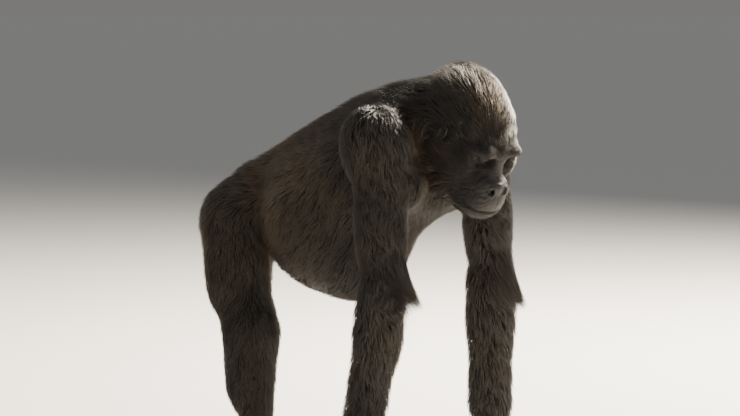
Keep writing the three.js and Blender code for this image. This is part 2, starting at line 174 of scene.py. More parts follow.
@dataclass(frozen=True)
class Limb(Mass):
    """A tapered capsule from start to end."""

    start: np.ndarray = field(default_factory=lambda: vec(0, 0, 0))
    end: np.ndarray = field(default_factory=lambda: vec(0, 0, 1))
    radii: tuple[float, float] = (1.0, 1.0)

    def distance(self, points: np.ndarray, coated: float) -> np.ndarray:
        """|q − t·bone| − radius(t), where t is how far along the bone the point lies, 0 to 1.

        Args:
            points: Places, N by 3.
            coated: 0 for the skin, 1 for the tips of the coat.

        Returns:
            One distance for each place.
        """
        bone = self.end - self.start
        q = points - self.start
        t = np.clip(q @ bone / (bone @ bone), 0, 1)
        radius = self.radii[0] + t * (self.radii[1] - self.radii[0]) + self.coat * coated
        return np.linalg.norm(q - t[:, None] * bone, axis=1) - radius

    def box(self) -> tuple[np.ndarray, np.ndarray]:
        """The lowest and highest corners of a box round it."""
        reach = max(self.radii) + self.coat
        return np.minimum(self.start, self.end) - reach, np.maximum(self.start, self.end) + reach


class Blend:
    """Masses joined in order by a smooth union, negative inside and cut off at the floor."""

    margin = 64.0  # a mass further away than this has no say
    step = 0.6  # how far from a place the distances for its normal are taken
    softness = 14.0  # how far one part's say reaches into the next

    def __init__(self, masses: list[Mass]) -> None:
        """Keeps the masses with their boxes."""
        self.masses = [(mass, *mass.box()) for mass in masses]

    def _near(self, points: np.ndarray, low: np.ndarray, high: np.ndarray) -> np.ndarray:
        """The indices of the points near a box."""
        inside = np.all((points > low - self.margin) & (points < high + self.margin), axis=1)
        return np.nonzero(inside)[0]

    def distance(self, points: np.ndarray, coated: float = 0.0) -> np.ndarray:
        """The distance to the surface.

        With h = max(k − |a − b|, 0)/k the union is min(a, b) − h²k/4, and a hollow mass b is taken
        away as max(a, −b) + h²k/4, with h from |a + b|.

        Args:
            points: Places, N by 3.
            coated: 0 for the skin, 1 for the tips of the coat.

        Returns:
            One distance for each place, negative inside.
        """
        total = np.full(len(points), FAR)
        for mass, low, high in self.masses:
            near = self._near(points, low, high)
            if not len(near):
                continue
            x = mass.distance(points[near], coated)
            d = total[near]
            k = mass.blend
            if mass.hollow:
                h = np.maximum(k - np.abs(d + x), 0) / k
                total[near] = np.maximum(d, -x) + h * h * k / 4
            else:
                h = np.maximum(k - np.abs(d - x), 0) / k
                total[near] = np.minimum(d, x) - h * h * k / 4
        return np.maximum(total, -points[:, 2])

    def normal(self, points: np.ndarray) -> np.ndarray:
        """The outward direction, from the distances at the four corners of a small tetrahedron."""
        corners = np.array(((1, -1, -1), (-1, -1, 1), (-1, 1, -1), (1, 1, 1)), float)
        return unit(sum(c * self.distance(points + c * self.step)[:, None] for c in corners))

    def shares(self, points: np.ndarray) -> dict[str, np.ndarray]:
        """How much each part has a say at each place: its masses' exp(−distance/softness), summed.

        Args:
            points: Places, N by 3.

        Returns:
            A share for each place, by part.
        """
        found: dict[str, np.ndarray] = {}
        for mass, low, high in self.masses:
            if mass.hollow:
                continue
            near = self._near(points, low, high)
            share = found.setdefault(mass.part, np.zeros(len(points)))
            share[near] += np.exp(np.clip(-mass.distance(points[near], 0.0) / self.softness, -9, 2))
        return found


# ------------------------------------------------------------------------------ the animal's sizes
@dataclass(frozen=True)
class Skeleton:
    """The joints of one side in body millimetres, how far its foot turns out, how stout its forearm
    is, and the tip of the tuft of hair over its elbow, from the elbow."""

    side: Side
    shoulder: np.ndarray
    elbow: np.ndarray
    wrist: np.ndarray
    knuckle: np.ndarray
    hip: np.ndarray
    knee: np.ndarray
    ankle: np.ndarray
    toes_out: float
    stout: float
    tuft: np.ndarray

    def foot(self, x: float, out: float, z: float) -> np.ndarray:
        """A place in the foot's own frame, on the floor under the ankle with X to the toes."""
        turn = turned(yaw=self.side.value * self.toes_out)
        return turn @ vec(x, self.side.value * out, z) + vec(self.ankle[0], self.ankle[1], 0)


@dataclass(frozen=True)
class HeadFrame:
    """Where the head is: a level head's point, measured from between the eyes, goes to the body."""

    at: np.ndarray = field(default_factory=lambda: vec(667, -22, 744))
    pitch: float = -40.0
    yaw: float = -9.0
    roll: float = 2.0
    scale: float = 1.12

    @property
    def axes(self) -> np.ndarray:
        """The head's own axes, as columns."""
        return turned(self.pitch, self.yaw, self.roll)

    def place(self, x: float, y: float, z: float) -> np.ndarray:
        """A place on the level head, in the body's frame."""
        return self.axes @ (vec(x, y, z) * self.scale) + self.at

    def level(self, points: np.ndarray) -> np.ndarray:
        """Body places as places on the level head."""
        return (points - self.at) @ self.axes / self.scale


@dataclass(frozen=True)
class Digits:
    """The sizes that the four fingers and the four small toes share."""

    finger_spacing: float = 24.0
    finger_lengths: tuple[float, ...] = (0.95, 1.04, 1.0, 0.86)
    finger_radii: tuple[float, ...] = (12.2, 12.0, 12.3, 11.8, 11.0, 9.6, 7.4)
    toe_spacing: float = 18.0
    toe_lengths: tuple[float, ...] = (1.0, 0.96, 0.88, 0.78)
    toe_radii: tuple[float, ...] = (9.4, 9.6, 9.2, 7.6)
    toe_root: float = 98.0

    def finger(self, bones: Skeleton, index: int) -> list[np.ndarray]:
        """The bent path of a finger: down from the knuckle, along the floor and up under the palm.

        Args:
            bones: The side's joints.
            index: Which finger, from 0.

        Returns:
            The points of its path.
        """
        out = (index - 1.5) * self.finger_spacing * bones.side.value
        length = self.finger_lengths[index]
        path = ((0, 61.7), (17, 41), (32, 20), (22, 9.6), (-4, 8.6), (-18, 12.5), (-24, 25))
        return [bones.knuckle * (1, 1, 0) + vec(x * length, out, z) for x, z in path]

    def toe(self, bones: Skeleton, index: int) -> list[np.ndarray]:
        """The path of a toe, forward and down to the floor.

        Args:
            bones: The side's joints.
            index: Which toe, from 0.

        Returns:
            The points of its path.
        """
        out = (index - 1.5) * self.toe_spacing + 4
        length = self.toe_lengths[index]
        path = ((0, 13), (18, 11), (36, 8), (46, 6.6))
        return [bones.foot(self.toe_root + x * length, out * (1 + x * 0.002), z) for x, z in path]

    @staticmethod
    def thumb(bones: Skeleton) -> tuple[list[np.ndarray], tuple[float, ...]]:
        """The path and radii of the thumb, which hangs beside the palm.

        Args:
            bones: The side's joints.

        Returns:
            The points and the radii.
        """
        path = ((4, 34, 112), (14, 44, 92), (22, 50, 68), (24, 50, 50))
        root = bones.knuckle * (1, 1, 0)
        points = [root + vec(x, -bones.side.value * inward, z) for x, inward, z in path]
        return points, (12.0, 11.5, 10.5, 8.0)

    @staticmethod
    def big_toe(bones: Skeleton) -> tuple[list[np.ndarray], tuple[float, ...]]:
        """The path and radii of the big toe, which stands off to the inside."""
        path = ((22, -16, 24), (52, -44, 18), (76, -60, 12.5), (88, -66, 10))
        return [bones.foot(*p) for p in path], (17.0, 15.5, 13.0, 10.5)


class Anatomy:
    """The animal's masses, part by part, with the same sizes as the solids."""

    def __init__(self) -> None:
        """Builds the bones and the two blends: the flesh, and the flesh with its digits."""
        self.head = HeadFrame()
        self.digits = Digits()
        self.bones = {
            Side.RIGHT: Skeleton(
                Side.RIGHT,
                shoulder=vec(466, -180, 769),
                elbow=vec(505, -207, 443),
                wrist=vec(439, -194, 152),
                knuckle=vec(436, -192, 62),
                hip=vec(-8, -88, 580),
                knee=vec(70, -122, 318),
                ankle=vec(84, -116, 84),
                toes_out=14,
                stout=1.0,
                tuft=vec(98, 6, -35),
            ),
            Side.LEFT: Skeleton(
                Side.LEFT,
                shoulder=vec(508, 186, 764),
                elbow=vec(523, 202, 436),
                wrist=vec(526, 194, 152),
                knuckle=vec(528, 192, 62),
                hip=vec(-98, 62, 580),
                knee=vec(-99, 86, 324),
                ankle=vec(-80, 94, 84),
                toes_out=8,
                stout=1.1,
                tuft=vec(101, -8, -60),
            ),
        }
        flesh = self.trunk() + self.neck() + self.skull()
        for side in Side:
            flesh += self.arm(self.bones[side]) + self.leg(self.bones[side])
        self.outline = Blend(flesh)
        extra = self.lids()
        for side in Side:
            extra += self.hand(self.bones[side]) + self.foot(self.bones[side])
        self.skin = Blend(flesh + extra)

    def trunk(self) -> list[Mass]:
        """Barrel, chest, rump, withers, spine, buttocks, breast and shoulder girdle.

        Returns:
            The trunk's masses.
        """

        def ball(centre: Triple, radii: Triple, pitch: float, coat: float, blend: float = 50.0) -> Ball:
            """One ball of the trunk."""
            return Ball("trunk", coat, blend, centre=vec(*centre), radii=vec(*radii), axes=turned(pitch))

        def limb(start: np.ndarray, end: np.ndarray, radii: Pair, coat: float) -> Limb:
            """One limb of the trunk."""
            return Limb("trunk", coat, 50.0, start=start, end=end, radii=radii)

        masses: list[Mass] = [
            ball((227, 0, 596), (170, 158, 172), 28, 18),
            ball((335, 0, 682), (169, 162, 146), 24, 18),
            ball((8, 0, 594), (96, 120, 84), 28, 20),
            ball((416, 0, 773), (118, 146, 62), 18, 26),
            limb(vec(30, 0, 658), vec(336, 0, 798), (46, 60), 22),
            ball((288, 0, 513), (88, 100, 102), 10, 16),
        ]
        for side in (Side.RIGHT, Side.LEFT):
            y = side.value
            masses.append(ball((-33, y * 58, 554), (58, 60, 76), 0, 20, 40))
            masses.append(ball((452, y * 60, 694), (64, 78, 56), 20, 14, 40))
            masses.append(limb(vec(440, y * 50, 672), vec(500, y * 142, 674), (56, 46), 14))
            girdle = self.bones[side].shoulder + vec(-18, -y * 30, 10)
            masses.append(limb(vec(420, y * 60, 792), girdle, (56, 46), 20))
        return masses

    @staticmethod
    def neck() -> list[Mass]:
        """The nape and the throat.

        Returns:
            The neck's masses.
        """
        return [
            Limb("neck", 24, 50, start=vec(446, 0, 786), end=vec(556, -6, 824), radii=(100, 86)),
            Limb("neck", 18, 50, start=vec(500, 0, 706), end=vec(584, -8, 706), radii=(74, 62)),
        ]

    def _on_head(
        self, at: Triple, radii: Triple, coat: float, blend: float, pitch: float = 0.0, hollow: bool = False
    ) -> Ball:
        """A ball given on the level head.

        Args:
            at: The ball's middle on the level head.
            radii: Its radii.
            coat: How deep the coat is on it.
            blend: How softly it joins.
            pitch: Degrees nose up.
            hollow: Whether it is taken away.

        Returns:
            The ball, in the body's frame.
        """
        s = self.head.scale
        axes = self.head.axes @ turned(pitch)
        centre = self.head.place(*at)
        return Ball("head", coat, blend * s, hollow, centre=centre, radii=vec(*radii) * s, axes=axes)

    def _head_limb(self, start: Triple, end: Triple, radii: Pair, coat: float, blend: float) -> Limb:
        """A limb given on the level head.

        Args:
            start: Where it starts on the level head.
            end: Where it ends.
            radii: Its radii there.
            coat: How deep the coat is on it.
            blend: How softly it joins.

        Returns:
            The limb, in the body's frame.
        """
        s = self.head.scale
        ends = {"start": self.head.place(*start), "end": self.head.place(*end)}
        return Limb("head", coat, blend * s, radii=(radii[0] * s, radii[1] * s), **ends)

    def skull(self) -> list[Mass]:
        """Braincase, crest, brow, cheeks, muzzle, nose, lips, chin and the hollows of the eyes.

        Returns:
            The head's masses.
        """
        ball, limb = self._on_head, self._head_limb
        masses: list[Mass] = [
            ball((-98, 0, 22), (76, 61, 62), 20, 36),
            ball((-110, 0, 55), (64, 38, 38), 20, 36),
            ball((-62, 0, 42), (49, 39, 37), 12, 22, -14),
        ]
        for y in (1, -1):
            masses += [
                ball((-60, y * 43, 8), (54, 24, 42), 15, 30),
                limb((16, y * 10, 14), (17, y * 36, 20), (9.3, 9.3), 5, 14),
                limb((17, y * 36, 20), (-8, y * 62, 10), (9.3, 7.3), 5, 12),
                limb((1, y * 8, 31), (-2, y * 36, 34), (6, 5), 14, 14),
                ball((-10, y * 54, -24), (24, 16, 24), 3, 22),
                limb((-10, y * 56, -24), (-72, y * 66, -16), (14, 14), 8, 24),
                ball((-44, y * 50, -62), (46, 22, 44), 16, 30, 10),
                ball((22, y * 24, -84), (36, 22, 27), 3, 24),
            ]
        masses += [
            limb((-32, 0, -12), (-20, 0, -64), (45, 50), 2, 30),
            limb((6, 0, 8), (28, 0, -28), (15, 16), 0, 20),
            ball((20, 0, -72), (44, 42, 37), 1, 26),
            ball((41, 0, -76), (26, 34, 21), 0, 20),
            *(ball((40, y * 18, -44), (18, 17, 14), 0, 10) for y in (1, -1)),
            ball((48, 0, -41), (13, 12, 13), 0, 10),
            ball((34, 0, -100), (32, 34, 20), 2, 16),
            ball((10, 0, -98), (44, 42, 24), 8, 24),
        ]
        masses += [ball((16, y * EYE_OUT, 0), (20, 17, 11), 0, 14, 0, True) for y in (1, -1)]
        return masses

    def lids(self) -> list[Mass]:
        """The round of the closed lids over each eyeball."""
        return [self._on_head((4, y * EYE_OUT, 0), (12.2, 12.4, 12.0), 0, 6) for y in (1, -1)]

    @staticmethod
    def arm(b: Skeleton) -> list[Mass]:
        """Deltoid, biceps, triceps, elbow, forearm, the tuft over the elbow and the palm.

        Args:
            b: The side's joints.

        Returns:
            The arm's masses.
        """
        y, word = b.side.value, b.side.word
        upper, fore, hand = f"upper_arm_{word}", f"forearm_{word}", f"hand_{word}"
        deltoid = b.shoulder + vec(-6, y * 2, -8)
        tuft_root = b.elbow + b.tuft * (0.2, 0.2, 0.45)
        middle = (b.shoulder + b.elbow) / 2
        belly = b.elbow + 0.28 * (b.wrist - b.elbow)
        palm = b.wrist + 0.56 * (b.knuckle - b.wrist)
        return [
            Ball(upper, 18, 40, centre=deltoid, radii=vec(66, 48, 84), axes=turned(10)),
            Limb(upper, 15, 30, start=b.shoulder, end=b.elbow, radii=(38, 34)),
            Ball(upper, 14, 30, centre=middle + vec(16, 0, -20), radii=vec(31, 34, 106)),
            Ball(upper, 16, 30, centre=middle + vec(-9, y * 4, -10), radii=vec(33, 36, 104)),
            Ball(fore, 18, 24, centre=b.elbow + vec(-4, 0, 4), radii=vec(36, 37, 42)),
            Limb(fore, 20, 26, start=b.elbow, end=b.wrist, radii=(33 * b.stout, 33 * b.stout)),
            Ball(fore, 18, 26, centre=belly, radii=vec(38, 42, 88)),
            Limb(fore, 34, 12, start=tuft_root, end=b.elbow + b.tuft, radii=(-14, -28)),
            Ball(hand, 6, 20, centre=palm, radii=vec(21, 43, 56)),
        ]

    @staticmethod
    def leg(b: Skeleton) -> list[Mass]:
        """Thigh, knee, calf, shin and the foot up to the roots of its toes.

        Args:
            b: The side's joints.

        Returns:
            The leg's masses.
        """
        thigh, shin, foot = (f"{name}_{b.side.word}" for name in ("thigh", "shin", "foot"))
        ham = b.hip + 0.45 * (b.knee - b.hip) + vec(-20, 0, 0)
        calf = b.knee + 0.38 * (b.ankle - b.knee) + vec(-14, 0, 0)
        return [
            Limb(thigh, 16, 40, start=b.hip, end=b.knee, radii=(55, 43)),
            Ball(thigh, 16, 40, centre=ham, radii=vec(56, 54, 112), axes=turned(-4)),
            Ball(shin, 16, 30, centre=b.knee, radii=vec(49, 47, 54)),
            Limb(shin, 13, 30, start=b.knee, end=b.ankle, radii=(45, 26)),
            Ball(shin, 15, 30, centre=calf, radii=vec(42, 42, 88), axes=turned(-8)),
            Limb(foot, 5, 24, start=b.foot(-38, 0, 34), end=b.foot(64, 4, 32), radii=(33, 30)),
            Limb(foot, 3, 20, start=b.foot(50, -16, 28), end=b.foot(96, -18, 18), radii=(24, 20)),
            Limb(foot, 3, 20, start=b.foot(50, 20, 26), end=b.foot(92, 28, 17), radii=(24, 19)),
        ]

    @staticmethod
    def chain(part: str, path: list[np.ndarray], radii: tuple[float, ...], blend: float) -> list[Mass]:
        """Limbs along a path, from each point to the next.

        Args:
            part: The part that they belong to.
            path: The points.
            radii: The radius at each point.
            blend: How softly they join.

        Returns:
            The limbs.
        """
        links = zip(path[:-1], path[1:], zip(radii[:-1], radii[1:]))
        return [Limb(part, 0, blend, start=a, end=b, radii=r) for a, b, r in links]

    def hand(self, b: Skeleton) -> list[Mass]:
        """The four fingers and the thumb.

        Args:
            b: The side's joints.

        Returns:
            The digits' masses.
        """
        part = f"hand_{b.side.word}"
        masses: list[Mass] = []
        for index in range(len(self.digits.finger_lengths)):
            masses += self.chain(part, self.digits.finger(b, index), self.digits.finger_radii, 5)
        path, radii = self.digits.thumb(b)
        return masses + self.chain(part, path, radii, 6)

    def foot(self, b: Skeleton) -> list[Mass]:
        """The sole, the four toes and the big toe.

        Args:
            b: The side's joints.

        Returns:
            The sole's and the digits' masses.
        """
        part = f"foot_{b.side.word}"
        axes = turned(yaw=b.side.value * b.toes_out)
        masses: list[Mass] = [
            Ball(part, 0, 12, centre=b.foot(-40, 0, 12), radii=vec(34, 28, 14), axes=axes),
            Ball(part, 0, 12, centre=b.foot(30, 8, 11), radii=vec(66, 30, 12), axes=axes),
            Ball(part, 0, 12, centre=b.foot(78, 4, 10), radii=vec(30, 42, 11), axes=axes),
        ]
        for index in range(len(self.digits.toe_lengths)):
            masses += self.chain(part, self.digits.toe(b, index), self.digits.toe_radii, 4)
        path, radii = self.digits.big_toe(b)
        return masses + self.chain(part, path, radii, 6)


# ------------------------------------------------------------------------------ triangle surfaces
@dataclass
class Surface:
    """A closed triangle surface in body millimetres."""

    points: np.ndarray
    faces: np.ndarray

    def face_normals(self) -> np.ndarray:
        """Each face's normal, as long as twice its area."""
        a, b, c = (self.points[self.faces[:, i]] for i in range(3))
        return np.cross(b - a, c - a)

    def normals(self) -> np.ndarray:
        """Each point's normal, from its faces by area."""
        flat = self.face_normals()
        return unit(sum(self._sum(self.faces[:, corner], flat) for corner in range(3)))

    def _sum(self, at: np.ndarray, vectors: np.ndarray) -> np.ndarray:
        """For each point of the surface, the sum of the vectors that are at it."""
        sums = [np.bincount(at, vectors[:, axis], minlength=len(self.points)) for axis in range(3)]
        return np.stack(sums, axis=1)

    def edges(self) -> np.ndarray:
        """Each face's three edges, as pairs of points: all the first ones, then the second and third."""
        return np.concatenate([self.faces[:, pair] for pair in ((0, 1), (1, 2), (2, 0))])

    def relax(self, amount: float) -> None:
        """Slides each point along the surface towards the mean of its neighbours.

        Args:
            amount: How far each point goes towards the mean, 0 to 1.
        """
        ends = self.edges()
        count = np.bincount(ends[:, 0], minlength=len(self.points))[:, None]
        pull = self._sum(ends[:, 0], self.points[ends[:, 1]]) / np.maximum(count, 1) - self.points
        normals = self.normals()
        pull -= normals * np.sum(pull * normals, axis=1, keepdims=True)
        self.points = self.points + pull * amount

    def settle(self, blend: Blend, times: int = 2) -> None:
        """Moves each point onto the blend's surface: p − n·d, a few times.

        Args:
            blend: The blend.
            times: How many times.
        """
        for _ in range(times):
            d = np.clip(blend.distance(self.points), -6, 6)
            self.points = self.points - blend.normal(self.points) * d[:, None]
        self.points[:, 2] = np.maximum(self.points[:, 2], 0)

    def refine(self, wanted: np.ndarray) -> None:
        """Splits each edge longer than the wanted length at its middle, and its faces to match.

        Args:
            wanted: The longest edge that each point allows.
        """
        ends = np.sort(self.edges(), axis=1)
        keys = ends[:, 0] * len(self.points) + ends[:, 1]
        _, first, which = np.unique(keys, return_index=True, return_inverse=True)
        edges = ends[first]
        length = np.linalg.norm(self.points[edges[:, 0]] - self.points[edges[:, 1]], axis=1)
        split = length > wanted[edges].mean(axis=1)
        new = np.where(split, len(self.points) + np.cumsum(split) - 1, -1)
        self.points = np.concatenate([self.points, self.points[edges[split]].mean(axis=1)])
        middles = new[which].reshape(3, -1).T
        six = np.concatenate([self.faces, middles], axis=1)
        marks = (middles >= 0).sum(axis=1)
        made = [self.faces[marks == 0]]
        made += [six[marks == 3][:, pick] for pick in ((0, 3, 5), (3, 1, 4), (5, 4, 2), (3, 4, 5))]
        for shift in range(3):
            turn = [(shift + step) % 3 for step in range(3)]
            turned_six = six[:, turn + [3 + corner for corner in turn]]
            one = turned_six[(marks == 1) & (turned_six[:, 3] >= 0)]
            two = turned_six[(marks == 2) & (turned_six[:, 5] < 0)]
            made += [one[:, pick] for pick in ((0, 3, 2), (3, 1, 2))]
            made += [two[:, pick] for pick in ((3, 1, 4), (0, 3, 4), (0, 4, 2))]
        self.faces = np.concatenate(made)


def surface_of(blend: Blend, low: np.ndarray, high: np.ndarray, cell: float) -> Surface:
    """The surface of a blend on a grid: one point in each cell that it crosses, the mean of the
    crossings on the cell's edges, and a square round each crossed edge of the grid.

    Args:
        blend: The masses.
        low: The grid's lowest corner.
        high: Its highest corner.
        cell: The side of a cell.

    Returns:
        The closed surface, with each square cut into two triangles.
    """
    axes = [np.arange(low[i], high[i] + cell, cell) for i in range(3)]
    grid = np.stack(np.meshgrid(*axes, indexing="ij"), axis=-1).reshape(-1, 3)
    values = blend.distance(grid).reshape([len(a) for a in axes])
    inside = values < 0
    cells = [len(a) - 1 for a in axes]
    total = cells[0] * cells[1] * cells[2]
    sums, count, squares = np.zeros((3, total)), np.zeros(total), []
    for a in range(3):
        before = tuple(slice(0, -1) if i == a else slice(None) for i in range(3))
        after = tuple(slice(1, None) if i == a else slice(None) for i in range(3))
        crossed = np.argwhere(inside[before] != inside[after])
        b, c = (a + 1) % 3, (a + 2) % 3
        beyond = crossed.copy()
        beyond[:, a] += 1
        here, there = values[tuple(crossed.T)], values[tuple(beyond.T)]
        places = low + crossed * cell
        places[:, a] += here / (here - there) * cell
        ring = []
        for db, dc in ((0, 0), (1, 0), (1, 1), (0, 1)):
            q = crossed.copy()
            q[:, b] -= db
            q[:, c] -= dc
            ids = (q[:, 0] * cells[1] + q[:, 1]) * cells[2] + q[:, 2]
            ring.append(ids)
            count += np.bincount(ids, minlength=total)
            for axis in range(3):
                sums[axis] += np.bincount(ids, places[:, axis], total)
        square = np.stack(ring, axis=1)
        outward = here < 0
        square[~outward] = square[~outward][:, ::-1]
        squares.append(square)
    used = np.nonzero(count)[0]
    order = np.full(total, -1)
    order[used] = np.arange(len(used))
    square = order[np.concatenate(squares)]
    faces = np.concatenate([square[:, (0, 1, 2)], square[:, (0, 2, 3)]])
    return Surface((sums[:, used] / count[used]).T, faces)


def sheet_faces(rows: int, columns: int) -> np.ndarray:
    """The triangles of a grid of rows and columns of points that closes round its columns, with a
    point before the first row and one after the last, as pole indices rows·columns and one more.

    Args:
        rows: How many rows.
        columns: How many columns.

    Returns:
        The triangles.
    """
    i, j = np.meshgrid(np.arange(rows - 1), np.arange(columns), indexing="ij")
    k = (j + 1) % columns
    a, b, c, d = i * columns + j, i * columns + k, (i + 1) * columns + k, (i + 1) * columns + j
    sides = np.concatenate([np.stack((a, b, c), -1).reshape(-1, 3), np.stack((a, c, d), -1).reshape(-1, 3)])
    j, k = np.arange(columns), (np.arange(columns) + 1) % columns
    start, end = np.full(columns, rows * columns), np.full(columns, rows * columns + 1)
    last = (rows - 1) * columns
    return np.concatenate([sides, np.stack((start, k, j), 1), np.stack((end, last + j, last + k), 1)])


# ------------------------------------------------------------------------------ from body to frame
class Placement:
    """Takes body millimetres to the frame's metres, from where the frame has the right eye."""

    def __init__(self, eye: np.ndarray) -> None:
        """Finds the shift from where the right eye is in body millimetres."""
        low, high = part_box("eye_right")
        self.shift = np.array((low + high) / 2) - eye * MM

    def place(self, points: np.ndarray) -> np.ndarray:
        """Body millimetres as metres in the frame."""
        return points * MM + self.shift


class Modeller:
    """Makes Blender meshes from arrays, rides them on the body and reports them."""

    def __init__(self, placement: Placement) -> None:
        """Keeps the placement that every mesh goes through."""
        self.placement = placement

    def piece(
        self,
        name: str,
        surface: Surface,
        material: bpy.types.Material,
        replaces: tuple[str, ...] = (),
        values: dict[str, np.ndarray] | None = None,
        unwrap: np.ndarray | None = None,
    ) -> None:
        """Makes one piece of the animal.

        Args:
            name: The piece's name.
            surface: Its points and triangles.
            material: Its finish.
            replaces: The solids that it stands for.
            values: Named values, one for each point.
            unwrap: A place on the bake's unwrap for each point.
        """
        mesh = bpy.data.meshes.new(name)
        count, faces = len(surface.points), len(surface.faces)
        mesh.vertices.add(count)
        mesh.vertices.foreach_set("co", self.placement.place(surface.points).astype(np.float32).ravel())
        mesh.loops.add(faces * 3)
        mesh.loops.foreach_set("vertex_index", surface.faces.astype(np.int32).ravel())
        mesh.polygons.add(faces)
        mesh.polygons.foreach_set("loop_start", np.arange(0, faces * 3, 3, dtype=np.int32))
        mesh.polygons.foreach_set("use_smooth", np.ones(faces, bool))
        for key, value in (values or {}).items():
            attribute = mesh.attributes.new(key, "FLOAT", "POINT")
            attribute.data.foreach_set("value", value.astype(np.float32))
        if unwrap is not None:
            layer = mesh.uv_layers.new(name="OFBake")
            layer.uv.foreach_set("vector", unwrap[surface.faces.ravel()].astype(np.float32).ravel())
        mesh.update(calc_edges=True)
        mesh.validate()
        mesh.materials.append(material)
        made = bpy.data.objects.new(name, mesh)
        bpy.context.scene.collection.objects.link(made)
        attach(made, "root")
        if replaces:
            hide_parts(*replaces)
        log.info("%s: %d points, %d triangles", name, count, faces)


# ------------------------------------------------------------------------------ finishes
class NodeTree:
    """Short ways to add nodes to a material or a group."""

    def __init__(self, tree: bpy.types.NodeTree) -> None:
        """Wraps a node tree."""
        self.tree = tree

    def put(self, socket: bpy.types.NodeSocket, value: Value) -> None:
        """Gives an input its value, or links another node's socket to it.

        Args:
            socket: The input.
            value: Its value, or the socket to link.
        """
        if isinstance(value, bpy.types.NodeSocket):
            self.tree.links.new(value, socket)
        else:
            socket.default_value = value

    def fill(self, node: bpy.types.Node, **inputs: Value) -> None:
        """Gives a node's inputs values or sockets, by name with _ for a space."""
        for key, value in inputs.items():
            self.put(node.inputs[key.replace("_", " ")], value)

    def node(self, kind: str, settings: dict | None = None, **inputs: Value) -> bpy.types.Node:
        """Adds a node.

        Args:
            kind: The node's type.
            settings: Its own properties.
            inputs: Values or sockets for its inputs, by name with _ for a space.

        Returns:
            The node.
        """
        made = self.tree.nodes.new(kind)
        for key, value in (settings or {}).items():
            setattr(made, key, value)
        self.fill(made, **inputs)
        return made

    def math(self, operation: str, a: Value, b: Value = 0.0, clamp: bool = False) -> bpy.types.NodeSocket:
        """A Math node's result for two values or sockets.

        Args:
            operation: The node's operation.
            a: The first value.
            b: The second value.
            clamp: Whether the result stays from 0 to 1.

        Returns:
            The result's socket.
        """
        made = self.tree.nodes.new("ShaderNodeMath")
        made.operation, made.use_clamp = operation, clamp
        self.put(made.inputs[0], a)
        self.put(made.inputs[1], b)
        return made.outputs[0]

    def mix(self, factor: Value, a: Value, b: Value) -> bpy.types.NodeSocket:
        """A colour between two colours or colour sockets.

        Args:
            factor: How much of the second colour.
            a: The first colour.
            b: The second colour.

        Returns:
            The result's socket.
        """
        made = self.tree.nodes.new("ShaderNodeMix")
        made.data_type = "RGBA"
        for index, value in ((0, factor), (6, a), (7, b)):
            self.put(made.inputs[index], value)
        return made.outputs[2]

    def attribute(self, name: str) -> bpy.types.NodeSocket:
        """A named value of the mesh."""
        return self.node("ShaderNodeAttribute", {"attribute_name": name}).outputs["Fac"]


def colour(red: float, green: float, blue: float) -> tuple[float, float, float, float]:
    """An opaque colour."""
    return (red, green, blue, 1.0)


def new_group(name: str, inputs: dict[str, tuple], outputs: dict[str, str]) -> tuple:
    """A shader node group with named inputs and outputs.

    Args:
        name: The group's name.
        inputs: A socket type and a first value for each input.
        outputs: A socket type for each output.

    Returns:
        The group, its node helper, its input sockets and its output node.
    """
    group = bpy.data.node_groups.new(name, "ShaderNodeTree")
    for key, (kind, value) in inputs.items():
        group.interface.new_socket(key, in_out="INPUT", socket_type=kind).default_value = value
    for key, kind in outputs.items():
        group.interface.new_socket(key, in_out="OUTPUT", socket_type=kind)
    helper = NodeTree(group)
    return group, helper, helper.node("NodeGroupInput").outputs, helper.node("NodeGroupOutput")


class CoatColours:
    """The colours of the coat, which the skin under it carries too."""

    dark = colour(0.013, 0.0102, 0.008)
    grey = colour(0.033, 0.0275, 0.022)
    warm = colour(0.158, 0.104, 0.052)

    def __init__(self) -> None:
        """Builds the group: dark to grey-brown by Pale, towards brown by Warm, and mottled."""
        inputs = {
            "Warm": ("NodeSocketFloat", 0.0),
            "Pale": ("NodeSocketFloat", 0.5),
            "Mottle": ("NodeSocketFloat", 0.35),
        }
        self.group, tree, given, result = new_group("Coat colours", inputs, {"Color": "NodeSocketColor"})
        place = tree.node("ShaderNodeTexCoord").outputs["Object"]
        noise = tree.node("ShaderNodeTexNoise", Vector=place, Scale=16.0, Detail=4.0, Roughness=0.6)
        uneven = tree.math("MULTIPLY", tree.math("SUBTRACT", noise.outputs["Fac"], 0.5), given["Mottle"])
        pale = tree.math("ADD", given["Pale"], uneven, clamp=True)
        plain = tree.mix(pale, self.dark, self.grey)
        warmth = tree.math("MULTIPLY", given["Warm"], pale, clamp=True)
        tree.fill(result, Color=tree.mix(warmth, plain, self.warm))

    def use(self, tree: NodeTree, warm: Value, pale: Value, mottle: float) -> bpy.types.NodeSocket:
        """The group's colour in a material, for the given values or sockets."""
        made = tree.node("ShaderNodeGroup", {"node_tree": self.group}, Warm=warm, Pale=pale, Mottle=mottle)
        return made.outputs["Color"]


def new_material(name: str) -> tuple[bpy.types.Material, NodeTree, bpy.types.Node]:
    """An empty material with its Principled shader.

    Args:
        name: The material's name.

    Returns:
        The material, its node helper and its shader.
    """
    material = bpy.data.materials.new(name)
    material.use_nodes = True
    shader = material.node_tree.nodes["Principled BSDF"]
    return material, NodeTree(material.node_tree), shader


